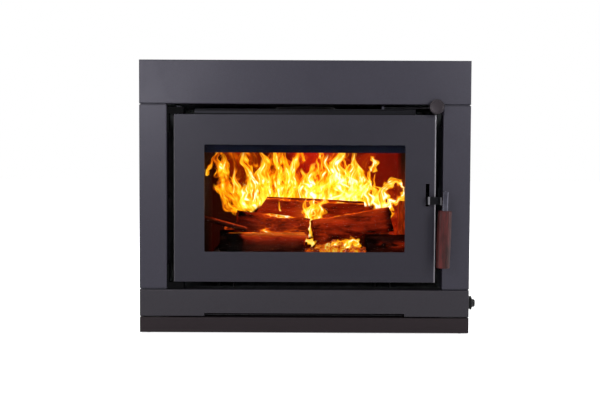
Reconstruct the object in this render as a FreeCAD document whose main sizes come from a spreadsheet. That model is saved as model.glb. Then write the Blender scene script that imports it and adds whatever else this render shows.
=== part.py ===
import FreeCAD, Part
import os
from types import SimpleNamespace

import Sketcher

# An inbuilt wood heater: painted fascia, hinged glass door with a lift latch and wooden grip,
# bricked firebox, sliding air damper, convection fan and its speed knob.
# Millimetres; X to the right, the room at -Y, Z up. The wall plane is Y = 0 and the hearth is Z = 0.

Vector = FreeCAD.Vector

DRIVING_SIZES = {
    # Fascia panels, folded from sheet
    "fascia_width": 820,
    "fascia_depth": 45,
    "fascia_sheet": 2,
    "fascia_edge_round": 2.5,
    "top_panel_height": 108,
    "side_panel_height": 456,
    "side_panel_width": 68,
    "lower_panel_height": 67,
    "plinth_height": 38,
    "panel_gap": 2.5,
    "seam_strip_setback": 6,
    "seam_strip_depth": 30,
    "seam_strip_end_gap": 2,
    "intake_width": 498,
    "intake_height": 8,
    "foot_height": 3,
    "foot_radius": 6,
    "foot_screw_radius": 3,
    "foot_screw_length": 12,
    "foot_inset": 20,
    "fascia_screw_radius": 2,
    "fascia_screw_head_radius": 4,
    "fascia_screw_head_height": 2,
    "fascia_screw_length": 8,
    "fascia_screw_pitch": 180,
    "screw_clearance": 0.2,
    "cut_overrun": 1,
    # Casing round the firebox
    "casing_sheet": 2,
    "casing_depth": 440,
    "casing_ear": 30,
    "casing_ear_gap": 5,
    "casing_flange": 15,
    "casing_flange_gap": 2,
    "lid_gap": 0.5,
    "lid_relief": 10,
    "lid_relief_gap": 2,
    "casing_screw_radius": 2,
    "casing_screw_head_radius": 4.5,
    "casing_screw_head_height": 3,
    "casing_screw_length": 8,
    "casing_screw_inset": 40,
    "pan_upstand": 38,
    "pan_front_reach": 20,
    "deck_front_gap": 5,
    "deck_rear_gap": 60,
    "levelling_bolt_radius": 5,
    "levelling_head_radius": 9,
    "levelling_head_height": 7,
    "levelling_inset": 40,
    "anchor_hole_radius": 5.5,
    "anchor_spacing_x": 500,
    "anchor_spacing_y": 280,
    "anchor_first_y": 70,
    # Firebox
    "firebox_side_gap": 46,
    "firebox_head_gap": 33.5,
    "firebox_rear_gap": 45,
    "firebox_wall": 5,
    "firebox_floor_plate": 6,
    "front_plate": 6,
    "front_plate_gap": 3,
    "mouth_margin": 16,
    "mouth_round": 12,
    "rail_height": 24,
    "rail_width": 40,
    "rail_wall": 3,
    "rail_spacing": 400,
    "rail_length": 330,
    "rail_setback": 30,
    "brick_thickness": 25,
    "brick_height": 290,
    "brick_joint": 1,
    "brick_columns": 4,
    "brick_rows": 3,
    "baffle_thickness": 6,
    "baffle_front_gap": 96,
    "airwash_sheet": 3,
    "airwash_side_gap": 4,
    "airwash_setback": 26,
    "airwash_drop": 65,
    "airwash_slope_drop": 19,
    "airwash_slope_reach": 14,
    "log_bar_sheet": 5,
    "log_bar_side_gap": 11,
    "log_bar_height": 34,
    "log_bar_foot": 20,
    "log_bar_setback": 14,
    "ember_depth": 14,
    "ember_side_gap": 21,
    "ember_rear_gap": 27,
    "ember_edge": 8,
    # Firewood
    "front_log_radius": 32,
    "front_log_length": 190,
    "front_log_side_gap": 76,
    "front_log_setback": 32,
    "end_log_length": 90,
    "end_log_side_gap": 11,
    "middle_log_radius": 34,
    "back_log_radius": 36,
    "row_log_side_gap": 46,
    "front_row_gap": 10,
    "back_row_gap": 34,
    "left_log_radius": 28,
    "left_log_side_gap": 96,
    "right_log_radius": 36,
    "right_log_side_gap": 61,
    "upper_log_split": 12.5,
    "upper_log_gap": 15,
    "top_log_radius": 42,
    "top_log_length": 290,
    "top_log_shift": 15,
    "log_clearance": 0.2,
    # Flue spigot
    "flue_bore_radius": 76,
    "flue_wall": 3,
    "flue_height": 100,
    "flue_flange_radius": 100,
    "flue_flange": 4,
    "flue_setback": 236,
    "flue_stop": 4,
    "flue_gap": 3,
    "flue_bolt_circle": 90,
    "flue_bolt_radius": 3,
    "flue_bolt_head_radius": 5.5,
    "flue_bolt_head_height": 4,
    # Sliding air control above the door
    "air_box_inset": 19.5,
    "air_box_depth": 50,
    "air_box_height": 20,
    "air_box_sheet": 2,
    "air_lip_reach": 5,
    "air_lip_inset": 29.5,
    "air_inlet_length": 120,
    "port_length": 62,
    "port_width": 14,
    "port_pitch": 130,
    "port_setback": 6,
    "damper_thickness": 3,
    "damper_end_margin": 38,
    "damper_side_margin": 3,
    "damper_clearance": 0.3,
    "damper_tab": 6,
    "air_travel": 65,
    "air_slot_clearance": 1.5,
    "air_rod_radius": 3.5,
    "air_rod_height": 24.5,
    "air_rod_bend": 12,
    "air_knob_inset": 20,
    "air_knob_radius": 18.4,
    "air_knob_thickness": 16,
    "air_knob_standoff": 14,
    "air_knob_round": 3.5,
    "air_knob_socket": 9,
    # Door
    "door_side_gap": 16.5,
    "door_top_gap": 26,
    "door_bottom_gap": 19.5,
    "door_setback": 2,
    "door_depth": 28,
    "door_skin": 3,
    "door_edge_round": 5,
    "door_stile": 76.5,
    "door_rail": 74.75,
    "window_round": 3,
    "glass_thickness": 5,
    "glass_overlap": 16,
    "gasket_thickness": 2,
    "gasket_width": 12,
    "clip_sheet": 3,
    "clip_grip": 9,
    "clip_side_gap": 1,
    "clip_corner_gap": 24,
    "clip_screw_radius": 2.5,
    "clip_screw_head": 2.5,
    "seal_margin": 10,
    "seal_frame_width": 18,
    "seal_frame_depth": 22,
    "rope_radius": 5.5,
    "rope_bend": 16,
    "rope_clearance": 0.1,
    "seal_gap": 0.3,
    # Door hinge
    "hinge_inset": 10.5,
    "hinge_setback": 13,
    "hinge_pin_radius": 5,
    "hinge_fit": 0.08,
    "hinge_head_radius": 8,
    "hinge_head_height": 3,
    "hinge_block_width": 17,
    "hinge_block_depth": 20,
    "hinge_block_height": 40,
    "lug_thickness": 16,
    "lug_gap": 2,
    "lug_end": 14,
    "lug_front": 12,
    "lug_back": 10,
    "lug_web": 5,
    "lug_web_height": 46,
    # Lift latch and handle
    "latch_inset": 21,
    "latch_below_middle": 3,
    "latch_pivot_setback": 17,
    "latch_pin_radius": 4,
    "latch_fit": 0.08,
    "lever_thickness": 6,
    "lever_height": 19,
    "lever_tail": 24,
    "hook_recess": 6,
    "hook_slot": 15,
    "hook_nose": 7,
    "hook_bevel": 3,
    "slot_width": 9,
    "slot_above_pivot": 41,
    "slot_below_pivot": 15,
    "cheek_sheet": 3,
    "cheek_gap": 1,
    "cheek_height": 30,
    "cheek_depth": 22,
    "strap_thickness": 6,
    "strap_standoff": 16,
    "handle_offset": 37.5,
    "handle_standoff": 49,
    "handle_tilt": 1.7,
    "rod_radius": 8,
    "rod_above_pivot": 25,
    "rod_chamfer": 1.5,
    "rod_tail_radius": 5,
    "rod_tail_length": 110,
    "rod_tail_fit": 0.05,
    "grip_below_pivot": 23,
    "grip_radius": 17.2,
    "grip_length": 140,
    "grip_round": 3.5,
    "catch_pin_radius": 5,
    "catch_pin_length": 18,
    "catch_clearance": 0.6,
    "catch_plate": 4,
    "catch_plate_size": 34,
    # Convection fan under the deck
    "fan_setback": 330,
    "fan_height": 56,
    "fan_offset": 180,
    "fan_length": 320,
    "fan_radius": 30,
    "fan_disc": 2,
    "fan_blade_width": 7,
    "fan_blade_sheet": 1.4,
    "fan_blade_rake": 3,
    "fan_blade_count": 24,
    "fan_shaft_radius": 4,
    "fan_shaft_overrun": 20,
    "fan_fit": 0.08,
    "fan_end_gap": 4,
    "fan_plate": 3,
    "fan_plate_width": 84,
    "fan_plate_gap": 10.5,
    "scroll_clearance": 6,
    "scroll_sheet": 1.5,
    "scroll_wrap": 200,
    "motor_radius": 32,
    "motor_length": 56,
    "motor_foot_width": 44,
    # Fan speed control at the right end of the lower panel
    "fan_knob_radius": 17.5,
    "fan_knob_skirt": 5,
    "fan_knob_grip_radius": 9.5,
    "fan_knob_length": 17,
    "fan_knob_gap": 0.4,
    "control_width": 28,
    "control_length": 22,
    "control_bush_radius": 5,
    "control_shaft_radius": 3,
    "control_shaft_fit": 0.05,
    "control_shaft_depth": 15,
    "control_socket_depth": 10,
    # Cable gland in the casing back
    "gland_inset": 94,
    "gland_height": 60,
    "gland_hole_radius": 8,
    "gland_nut_radius": 12,
    "gland_nut_height": 6,
    "gland_length": 24,
    "gland_bore_radius": 4,
}

doc = FreeCAD.newDocument("fireplace_insert")
sheet = doc.addObject("Spreadsheet::Sheet", "dims")
for row, (size_name, size_number) in enumerate(DRIVING_SIZES.items(), start=1):
    sheet.set(f"A{row}", size_name)
    sheet.set(f"B{row}", str(size_number))
    sheet.setAlias(f"B{row}", size_name)
doc.recompute()


class Size:
    """A size worked out from the sheet: its number, and the expression that binds it to the cells."""

    def __init__(self, number, text):
        self.number = number
        self.text = text

    def __add__(self, other):
        other = as_size(other)
        return Size(self.number + other.number, f"({self.text} + {other.text})")

    def __radd__(self, other):
        return as_size(other) + self

    def __sub__(self, other):
        other = as_size(other)
        return Size(self.number - other.number, f"({self.text} - {other.text})")

    def __rsub__(self, other):
        return as_size(other) - self

    def __mul__(self, other):
        other = as_size(other)
        return Size(self.number * other.number, f"({self.text} * {other.text})")

    def __rmul__(self, other):
        return as_size(other) * self

    def __truediv__(self, other):
        other = as_size(other)
        return Size(self.number / other.number, f"({self.text} / {other.text})")

    def __neg__(self):
        return Size(-self.number, f"(-1 * {self.text})")

    def root(self):
        return Size(self.number ** 0.5, f"sqrt({self.text})")


def as_size(value):
    """A Size as it is, or a plain number made into one."""
    return value if isinstance(value, Size) else Size(float(value), f"({float(value)})")


d = SimpleNamespace(**{name: Size(float(number), f"dims.{name}") for name, number in DRIVING_SIZES.items()})
ZERO = as_size(0)

# Turns that lay a bar, made along Z, along another axis
ALONG = {
    "X": FreeCAD.Rotation(Vector(0, 1, 0), 90),
    "Y": FreeCAD.Rotation(Vector(1, 0, 0), -90),
    "Z": FreeCAD.Rotation(),
}
nodes = []


def node(label, item):
    """Names a finished sub-part and lists it for writing."""
    item.Label = label
    nodes.append(item)
    return item


def bind(item, path, size):
    item.setExpression(path, as_size(size).text)


def place(item, x, y, z, rotation=None):
    """Sets the turn of an item and binds the place of its own origin."""
    item.Placement = FreeCAD.Placement(Vector(0, 0, 0), rotation or FreeCAD.Rotation())
    for axis, size in zip("xyz", (x, y, z)):
        bind(item, f"Placement.Base.{axis}", size)
    return item


def block(name, x, y, z):
    """A box between the low and high ends given for each axis."""
    box = doc.addObject("Part::Box", name)
    for side, ends in (("Length", x), ("Width", y), ("Height", z)):
        bind(box, side, ends[1] - ends[0])
    return place(box, x[0], y[0], z[0])


def bar(name, axis, radius, start, length):
    """A round bar from its start point along an axis."""
    cylinder = doc.addObject("Part::Cylinder", name)
    bind(cylinder, "Radius", radius)
    bind(cylinder, "Height", length)
    return place(cylinder, *start, rotation=ALONG[axis])


def drill(name, axis, radius, start, depth):
    """A round cutter that overruns both faces of what it goes through."""
    over = d.cut_overrun
    moved = [as_size(value) - (over if letter == axis else ZERO) for letter, value in zip("XYZ", start)]
    return bar(name, axis, radius, moved, depth + over * 2)


def hexagon(name, radius, start, length):
    """An upright six-sided bar, such as a bolt head."""
    prism = doc.addObject("Part::Prism", name)
    prism.Polygon = 6
    bind(prism, "Circumradius", radius)
    bind(prism, "Height", length)
    return place(prism, *start)


def bend(name, radius, bend_radius, centre, rotation):
    """A quarter turn of round bar about a centre."""
    torus = doc.addObject("Part::Torus", name)
    bind(torus, "Radius1", bend_radius)
    bind(torus, "Radius2", radius)
    torus.Angle3 = 90
    return place(torus, *centre, rotation=rotation)


def fuse(name, pieces):
    joined = doc.addObject("Part::MultiFuse", name)
    joined.Shapes = pieces
    joined.Refine = True
    return joined


def group(name, pieces):
    """Separate solids that share one node."""
    compound = doc.addObject("Part::Compound", name)
    compound.Links = pieces
    return compound


def cut(name, base, tools):
    result = doc.addObject("Part::Cut", name)
    result.Base = base
    result.Tool = tools[0] if len(tools) == 1 else group(f"{name}_tools", tools)
    return result


def new_body(name, x=ZERO, y=ZERO, z=ZERO, rotation=None):
    body = doc.addObject("PartDesign::Body", name)
    return place(body, x, y, z, rotation)


def new_sketch(body, plane, name, offset=None):
    """A sketch on one of the body's own origin planes, moved along the plane's normal by an offset."""
    sketch = body.newObject("Sketcher::SketchObject", name)
    support = [item for item in body.Origin.OriginFeatures if item.Role == plane][0]
    sketch.AttachmentSupport = [(support, "")]
    sketch.MapMode = "FlatFace"
    if offset is not None:
        bind(sketch, "AttachmentOffset.Base.z", offset)
    return sketch


def hold(sketch, geometry, point, name, place_sizes):
    """Fixes one sketch point by its two coordinates."""
    for kind, size in zip(("DistanceX", "DistanceY"), place_sizes):
        index = sketch.addConstraint(Sketcher.Constraint(kind, -1, 1, geometry, point, size.number))
        constraint = f"{name}_{kind[-1].lower()}"
        sketch.renameConstraint(index, constraint)
        bind(sketch, f"Constraints.{constraint}", size)


def add_outline(sketch, points):
    """A closed outline of straight lines through the given points."""
    points = [(as_size(x), as_size(y)) for x, y in points]
    first = sketch.GeometryCount
    count = len(points)
    for index in range(count):
        start = points[index]
        end = points[(index + 1) % count]
        line = Part.LineSegment(
            Vector(start[0].number, start[1].number, 0), Vector(end[0].number, end[1].number, 0))
        sketch.addGeometry(line, False)
    for index in range(count):
        after = first + (index + 1) % count
        sketch.addConstraint(Sketcher.Constraint("Coincident", first + index, 2, after, 1))
    for index in range(count):
        hold(sketch, first + index, 1, f"corner{first + index}", points[index])


def add_rectangle(sketch, x, y):
    add_outline(sketch, [(x[0], y[0]), (x[1], y[0]), (x[1], y[1]), (x[0], y[1])])


def add_circle(sketch, centre, radius):
    centre = [as_size(value) for value in centre]
    index = sketch.addGeometry(
        Part.Circle(Vector(centre[0].number, centre[1].number, 0), Vector(0, 0, 1), radius.number), False)
    hold(sketch, index, 3, f"centre{index}", centre)
    constraint = sketch.addConstraint(Sketcher.Constraint("Radius", index, radius.number))
    sketch.renameConstraint(constraint, f"radius{index}")
    bind(sketch, f"Constraints.radius{index}", radius)


def pad(body, sketch, length, name="pad", backwards=False):
    feature = body.newObject("PartDesign::Pad", name)
    feature.Profile = sketch
    feature.Reversed = backwards
    bind(feature, "Length", length)
    doc.recompute()
    return feature


def pocket(body, sketch, length, name="pocket", backwards=False):
    """Cuts a sketch into the body and makes sure that it removed something."""
    before = body.Shape.Volume
    feature = body.newObject("PartDesign::Pocket", name)
    feature.Profile = sketch
    feature.Reversed = backwards
    bind(feature, "Length", length)
    doc.recompute()
    if body.Shape.Volume > before - 1e-6:
        raise RuntimeError(f"{body.Name}: {name} cuts nothing")
    return feature


def turned(body, points, plane="XZ_Plane", axis="V_Axis", name="profile"):
    """A solid of revolution from a closed profile."""
    sketch = new_sketch(body, plane, name)
    add_outline(sketch, points)
    feature = body.newObject("PartDesign::Revolution", "turning")
    feature.Profile = sketch
    feature.ReferenceAxis = (sketch, [axis])
    feature.Angle = 360
    doc.recompute()
    return feature


def round_edges(body, feature, radius, wanted, name="rounding"):
    """Rounds the edges of a feature that the wanted function picks."""
    picked = [
        f"Edge{index}" for index, edge in enumerate(feature.Shape.Edges, start=1) if wanted(edge.BoundBox)]
    if not picked:
        raise RuntimeError(f"{body.Name}: no edge to round")
    fillet = body.newObject("PartDesign::Fillet", name)
    fillet.Base = (feature, picked)
    bind(fillet, "Radius", radius)
    doc.recompute()
    return fillet


def near(first, second):
    return abs(first - second) < 1e-4


def mirrored(size):
    """The two ends of a span that is centred on the middle plane."""
    return (-size, size)


def overrun(low, high):
    """A span made longer at both ends, so that a cutter goes right through."""
    return (low - d.cut_overrun, high + d.cut_overrun)


# Heights and widths of the fascia and its opening
half_width = d.fascia_width / 2
plinth_top = d.foot_height + d.plinth_height
lower_bottom = plinth_top + d.panel_gap
lower_top = lower_bottom + d.lower_panel_height
side_bottom = lower_top + d.panel_gap
side_top = side_bottom + d.side_panel_height
top_bottom = side_top + d.panel_gap
top_top = top_bottom + d.top_panel_height
opening_half = half_width - d.side_panel_width
fascia_front = -d.fascia_depth

# Door
door_half = opening_half - d.door_side_gap
door_bottom = lower_top + d.door_bottom_gap
door_top = top_bottom - d.door_top_gap
door_middle = (door_bottom + door_top) / 2
door_front = fascia_front + d.door_setback
door_inner = door_front + d.door_skin
door_back = door_front + d.door_depth
window_half = door_half - d.door_stile
window_half_height = (door_top - door_bottom) / 2 - d.door_rail
glass_half = window_half + d.glass_overlap
glass_half_height = window_half_height + d.glass_overlap
glass_front = door_inner + d.gasket_thickness
glass_back = glass_front + d.glass_thickness
seal_inner = glass_half + d.seal_margin
seal_inner_height = glass_half_height + d.seal_margin
seal_line = seal_inner + d.seal_frame_width / 2
seal_line_height = seal_inner_height + d.seal_frame_width / 2

# Casing
casing_half = opening_half + d.fascia_sheet
casing_outer = casing_half + d.casing_sheet
casing_back = d.casing_depth + d.casing_sheet
flange_outer = casing_outer + d.casing_sheet
flange_back = casing_back + d.casing_sheet
casing_top = top_bottom + d.fascia_sheet + d.lid_gap
deck_top = lower_top - d.fascia_sheet
deck_bottom = deck_top - d.casing_sheet
pan_top = d.casing_sheet

# Firebox
plate_front = door_back + d.front_plate_gap
plate_back = plate_front + d.front_plate
firebox_half = opening_half - d.firebox_side_gap
firebox_inner = firebox_half - d.firebox_wall
firebox_bottom = deck_top + d.rail_height
firebox_floor = firebox_bottom + d.firebox_floor_plate
firebox_top = casing_top - d.firebox_head_gap
firebox_ceiling = firebox_top - d.firebox_wall
firebox_back = d.casing_depth - d.firebox_rear_gap
firebox_back_inner = firebox_back - d.firebox_wall
brick_floor = firebox_floor + d.brick_thickness
brick_side = firebox_inner - d.brick_thickness
brick_rear = firebox_back_inner - d.brick_thickness
brick_top = brick_floor + d.brick_height
bed_top = brick_floor + d.ember_depth
flue_y = plate_back + d.flue_setback

# Hinge and latch axes
hinge_x = -(door_half - d.hinge_inset)
hinge_y = door_front + d.hinge_setback
latch_x = door_half - d.latch_inset
latch_y = door_front + d.latch_pivot_setback
latch_z = door_middle - d.latch_below_middle
lever_left = latch_x - d.lever_thickness / 2
lever_half = d.lever_height / 2
strap_back = door_front - d.strap_standoff
handle_x = latch_x + d.handle_offset
handle_y = door_front - d.handle_standoff

# Fan
fan_left = -d.fan_offset
fan_right = fan_left + d.fan_length
fan_plate_left = fan_left - d.fan_end_gap
fan_plate_right = fan_right + d.fan_end_gap


def folded_tray(name, x, z):
    """A fascia panel: a shallow tray of folded sheet, open towards the wall, with rounded front bends."""
    body = new_body(name)
    outer = new_sketch(body, "XZ_Plane", "outer")
    add_rectangle(outer, x, z)
    pad(body, outer, d.fascia_depth)
    inner = new_sketch(body, "XZ_Plane", "inner")
    add_rectangle(
        inner,
        (x[0] + d.fascia_sheet, x[1] - d.fascia_sheet),
        (z[0] + d.fascia_sheet, z[1] - d.fascia_sheet))
    hollow = pocket(body, inner, d.fascia_depth - d.fascia_sheet, backwards=True)
    front = fascia_front.number
    round_edges(
        body, hollow, d.fascia_edge_round, lambda box: near(box.YMin, front) and near(box.YMax, front))
    return body


def fascia_screw_places():
    """Heights of the screws that hold each side panel to the casing, and their distance from the wall."""
    middle = (side_bottom + side_top) / 2
    return [middle + step * d.fascia_screw_pitch for step in (-1, 0, 1)]


fascia_screw_y = -d.casing_ear / 3


def make_fascia():
    """The top and side panels, with seam strips above and below the sides that close the gaps between panels.
    The top panel's lower edge is cut back where the casing passes into the wall."""
    top_panel = folded_tray("top_panel", mirrored(half_width), (top_bottom, top_top))
    relief = block(
        "lid_relief", mirrored(flange_outer + d.lid_relief_gap), (-d.lid_relief, d.cut_overrun),
        overrun(top_bottom, top_bottom + d.fascia_sheet))
    node("fascia_top", cut("fascia_top", top_panel, [relief]))
    hole_radius = d.fascia_screw_radius + d.screw_clearance
    screws = []
    for side, x, head_start, shank_start, hole_start in (
            ("left", (-half_width, -opening_half), -opening_half, -opening_half - d.fascia_screw_length,
             -opening_half - d.fascia_sheet),
            ("right", (opening_half, half_width), opening_half - d.fascia_screw_head_height, opening_half,
             opening_half)):
        panel = folded_tray(f"{side}_panel", x, (side_bottom, side_top))
        holes = []
        for height in fascia_screw_places():
            start = (hole_start, fascia_screw_y, height)
            holes.append(drill(f"{side}_hole", "X", hole_radius, start, d.fascia_sheet))
            head = bar(f"{side}_head", "X", d.fascia_screw_head_radius,
                       (head_start, fascia_screw_y, height), d.fascia_screw_head_height)
            shank = bar(f"{side}_shank", "X", d.fascia_screw_radius,
                        (shank_start, fascia_screw_y, height), d.fascia_screw_length)
            screws.append(fuse(f"{side}_screw", [head, shank]))
        strip_front = fascia_front + d.seam_strip_setback
        strips = [
            block(f"{side}_seam_strip", (x[0] + d.seam_strip_end_gap, x[1] - d.seam_strip_end_gap),
                  (strip_front, strip_front + d.seam_strip_depth), gap)
            for gap in ((side_top, top_bottom), (lower_top, side_bottom))]
        node(f"fascia_{side}", group(f"fascia_{side}", [cut(f"{side}_drilled", panel, holes)] + strips))
    node("fascia_screws", group("fascia_screws", screws))


def make_lower_panel():
    """The lower panel, with the air intake in its bottom edge and the speed knob's hole in its right end."""
    panel = folded_tray("lower_panel", mirrored(half_width), (lower_bottom, lower_top))
    intake = block(
        "intake", mirrored(d.intake_width / 2), (fascia_front - d.cut_overrun, fascia_front / 2),
        (lower_bottom - d.cut_overrun, lower_bottom + d.intake_height))
    bush_hole = drill(
        "bush_hole", "X", d.control_bush_radius + d.screw_clearance,
        (half_width - d.fascia_sheet, control_y, control_z), d.fascia_sheet)
    node("fascia_lower", cut("fascia_lower", panel, [intake, bush_hole]))


def make_plinth():
    """The plinth stands on two small screw feet near its ends."""
    panel = folded_tray("plinth_blank", mirrored(half_width), (d.foot_height, plinth_top))
    feet = []
    holes = []
    for x in mirrored(half_width - d.foot_inset):
        y = fascia_front / 2
        pad_disc = bar("foot_pad", "Z", d.foot_radius, (x, y, ZERO), d.foot_height)
        screw = bar("foot_screw", "Z", d.foot_screw_radius, (x, y, ZERO), d.foot_screw_length)
        feet.append(fuse("foot", [pad_disc, screw]))
        holes.append(drill("foot_hole", "Z", d.foot_screw_radius + d.screw_clearance,
                           (x, y, d.foot_height), d.fascia_sheet))
    node("plinth_panel", cut("plinth_panel", panel, holes))
    node("plinth_feet", group("plinth_feet", feet))


def make_casing():
    """Sheets round the firebox with lapping edge strips; the sides have ears that reach behind the fascia."""
    ear_low = side_bottom + d.fascia_sheet + d.casing_ear_gap
    ear_high = side_top - d.fascia_sheet - d.casing_ear_gap
    hole_radius = d.fascia_screw_radius + d.screw_clearance
    screws, screw_holes = casing_fixings()
    for side, start in (("left", -casing_outer), ("right", casing_half)):
        body = new_body(f"{side}_casing", x=start)
        sketch = new_sketch(body, "YZ_Plane", "outline")
        add_outline(sketch, [
            (ZERO, pan_top), (d.casing_depth, pan_top), (d.casing_depth, casing_top), (ZERO, casing_top),
            (ZERO, ear_high), (-d.casing_ear, ear_high), (-d.casing_ear, ear_low), (ZERO, ear_low)])
        pad(body, sketch, d.casing_sheet)
        holes = [
            drill(f"{side}_casing_hole", "X", hole_radius, (start, fascia_screw_y, height), d.casing_sheet)
            for height in fascia_screw_places()]
        node(f"casing_{side}", cut(f"casing_{side}", body, holes + screw_holes))

    low, high = pan_top, casing_top
    back_sheet = block("back_sheet", mirrored(casing_outer), (d.casing_depth, casing_back), (low, high))
    flange_z = (low + d.casing_flange + d.casing_flange_gap, high - d.casing_flange - d.casing_flange_gap)
    back_flange_y = (casing_back - d.casing_flange, casing_back)
    strips = [block("back_strip", x, back_flange_y, flange_z) for x in side_flanges()]
    gland_hole = drill(
        "gland_hole", "Y", d.gland_hole_radius + d.screw_clearance,
        (casing_half - d.gland_inset, d.casing_depth, d.gland_height), d.casing_sheet)
    node("casing_back", drilled("casing_back", [back_sheet] + strips, [gland_hole] + screw_holes))

    lid_sheet = block("lid_sheet", mirrored(flange_outer), (-d.casing_ear, flange_back),
                      (casing_top, casing_top + d.casing_sheet))
    strips = edge_strips("lid", (high - d.casing_flange, high))
    flue_hole = drill(
        "flue_hole", "Z", d.flue_bore_radius + d.flue_wall + d.flue_gap,
        (ZERO, flue_y, casing_top), d.casing_sheet)
    node("casing_top", drilled("casing_top", [lid_sheet] + strips, [flue_hole] + screw_holes))
    make_base_pan(screw_holes)
    node("casing_screws", group("casing_screws", screws))


def side_flanges():
    """The spans, left and right, of the strips that lap outside the casing sides."""
    return ((-flange_outer, -casing_outer), (casing_outer, flange_outer))


def edge_strips(name, z):
    """Strips welded along three edges of the casing's lid or pan, outside the sides and the back."""
    strips = [block(f"{name}_strip", x, (d.casing_flange_gap, casing_back), z) for x in side_flanges()]
    strips.append(block(f"{name}_rear_strip", mirrored(flange_outer), (casing_back, flange_back), z))
    return strips


def drilled(name, pieces, holes):
    """Sheet and strips with the same holes cut in each, as separate solids of one node."""
    return group(name, [cut(f"{name}_piece", piece, holes) for piece in pieces])


def casing_fixings():
    """Screws through the casing's edge strips, and the holes that they fill."""
    low = pan_top + d.casing_flange / 2
    high = casing_top - d.casing_flange / 2
    middle = (low + high) / 2
    near_back = casing_back - d.casing_flange / 2
    side_ys = (d.casing_screw_inset, d.casing_depth / 2)
    side_places = [(y, z) for y in side_ys for z in (low, high)] + [
        (near_back, low + d.casing_screw_inset), (near_back, middle),
        (near_back, high - d.casing_screw_inset)]
    rear_xs = (-casing_half + d.casing_screw_inset, ZERO, casing_half - d.casing_screw_inset)
    screws = []
    holes = []
    for side, (face, inward) in (("left", (-flange_outer, 1)), ("right", (flange_outer, -1))):
        shank_start = ordered(face, face + inward * d.casing_screw_length)[0]
        head_start = ordered(face, face - inward * d.casing_screw_head_height)[0]
        for y, z in side_places:
            hole = bar(f"{side}_screw_shank", "X", d.casing_screw_radius, (shank_start, y, z),
                       d.casing_screw_length)
            head = bar(f"{side}_screw_head", "X", d.casing_screw_head_radius, (head_start, y, z),
                       d.casing_screw_head_height)
            holes.append(hole)
            screws.append(fuse(f"{side}_casing_screw", [hole, head]))
    for x in rear_xs:
        for z in (low, high):
            shank_start = flange_back - d.casing_screw_length
            hole = bar("rear_screw_shank", "Y", d.casing_screw_radius, (x, shank_start, z),
                       d.casing_screw_length)
            head = bar("rear_screw_head", "Y", d.casing_screw_head_radius, (x, flange_back, z),
                       d.casing_screw_head_height)
            holes.append(hole)
            screws.append(fuse("rear_casing_screw", [hole, head]))
    return screws, holes


def make_base_pan(screw_holes):
    """The pan on the hearth, with an upstand behind the plinth, anchor holes and levelling bolts."""
    body = new_body("pan_sheet")
    sketch = new_sketch(body, "XY_Plane", "outline")
    add_rectangle(sketch, mirrored(flange_outer), (-d.pan_front_reach, flange_back))
    anchor_ys = (d.anchor_first_y, d.anchor_first_y + d.anchor_spacing_y)
    bolt_ys = (d.levelling_inset, d.casing_depth - d.levelling_inset)
    for x in mirrored(d.anchor_spacing_x / 2):
        for y in anchor_ys:
            add_circle(sketch, (x, y), d.anchor_hole_radius)
    bolt_xs = mirrored(casing_half - d.levelling_inset)
    for x in bolt_xs:
        for y in bolt_ys:
            add_circle(sketch, (x, y), d.levelling_bolt_radius + d.screw_clearance)
    pad(body, sketch, d.casing_sheet)
    upstand = new_sketch(body, "XY_Plane", "upstand")
    add_rectangle(upstand, mirrored(casing_half), (ZERO, d.casing_sheet))
    pad(body, upstand, d.pan_upstand, "upstand_pad")
    strips = edge_strips("pan", (pan_top, pan_top + d.casing_flange))
    node("base_pan", drilled("base_pan", [body] + strips, screw_holes))
    bolts = []
    for x in bolt_xs:
        for y in bolt_ys:
            shank = bar("bolt_shank", "Z", d.levelling_bolt_radius, (x, y, ZERO), pan_top)
            head = hexagon("bolt_head", d.levelling_head_radius, (x, y, pan_top), d.levelling_head_height)
            bolts.append(fuse("levelling_bolt", [shank, head]))
    node("levelling_bolts", group("levelling_bolts", bolts))


def make_deck():
    """The lid of the fan space, with a gap at the rear where the fan's air rises."""
    deck_y = (fascia_front + d.deck_front_gap, d.casing_depth - d.deck_rear_gap)
    node("fan_deck", block("fan_deck", mirrored(casing_half), deck_y, (deck_bottom, deck_top)))
    rails = []
    for x in mirrored(d.rail_spacing / 2):
        body = new_body("rail", x=x, y=d.rail_setback + d.rail_length, z=deck_top)
        half = d.rail_width / 2
        sketch = new_sketch(body, "XZ_Plane", "section")
        add_outline(sketch, [
            (-half, ZERO), (-half, d.rail_height), (half, d.rail_height), (half, ZERO),
            (half - d.rail_wall, ZERO), (half - d.rail_wall, d.rail_height - d.rail_wall),
            (-half + d.rail_wall, d.rail_height - d.rail_wall), (-half + d.rail_wall, ZERO)])
        pad(body, sketch, d.rail_length)
        rails.append(body)
    node("firebox_rails", group("firebox_rails", rails))


def make_firebox():
    depth = (plate_back, firebox_back)
    node("firebox_floor", block(
        "firebox_floor", mirrored(firebox_half), depth, (firebox_bottom, firebox_floor)))
    wall_y = (plate_back, firebox_back_inner)
    wall_z = (firebox_floor, firebox_ceiling)
    node("firebox_left", block("firebox_left", (-firebox_half, -firebox_inner), wall_y, wall_z))
    node("firebox_right", block("firebox_right", (firebox_inner, firebox_half), wall_y, wall_z))
    node("firebox_back", block(
        "firebox_back", mirrored(firebox_half), (firebox_back_inner, firebox_back), wall_z))
    make_firebox_top(depth)
    make_front_plate()


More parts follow.
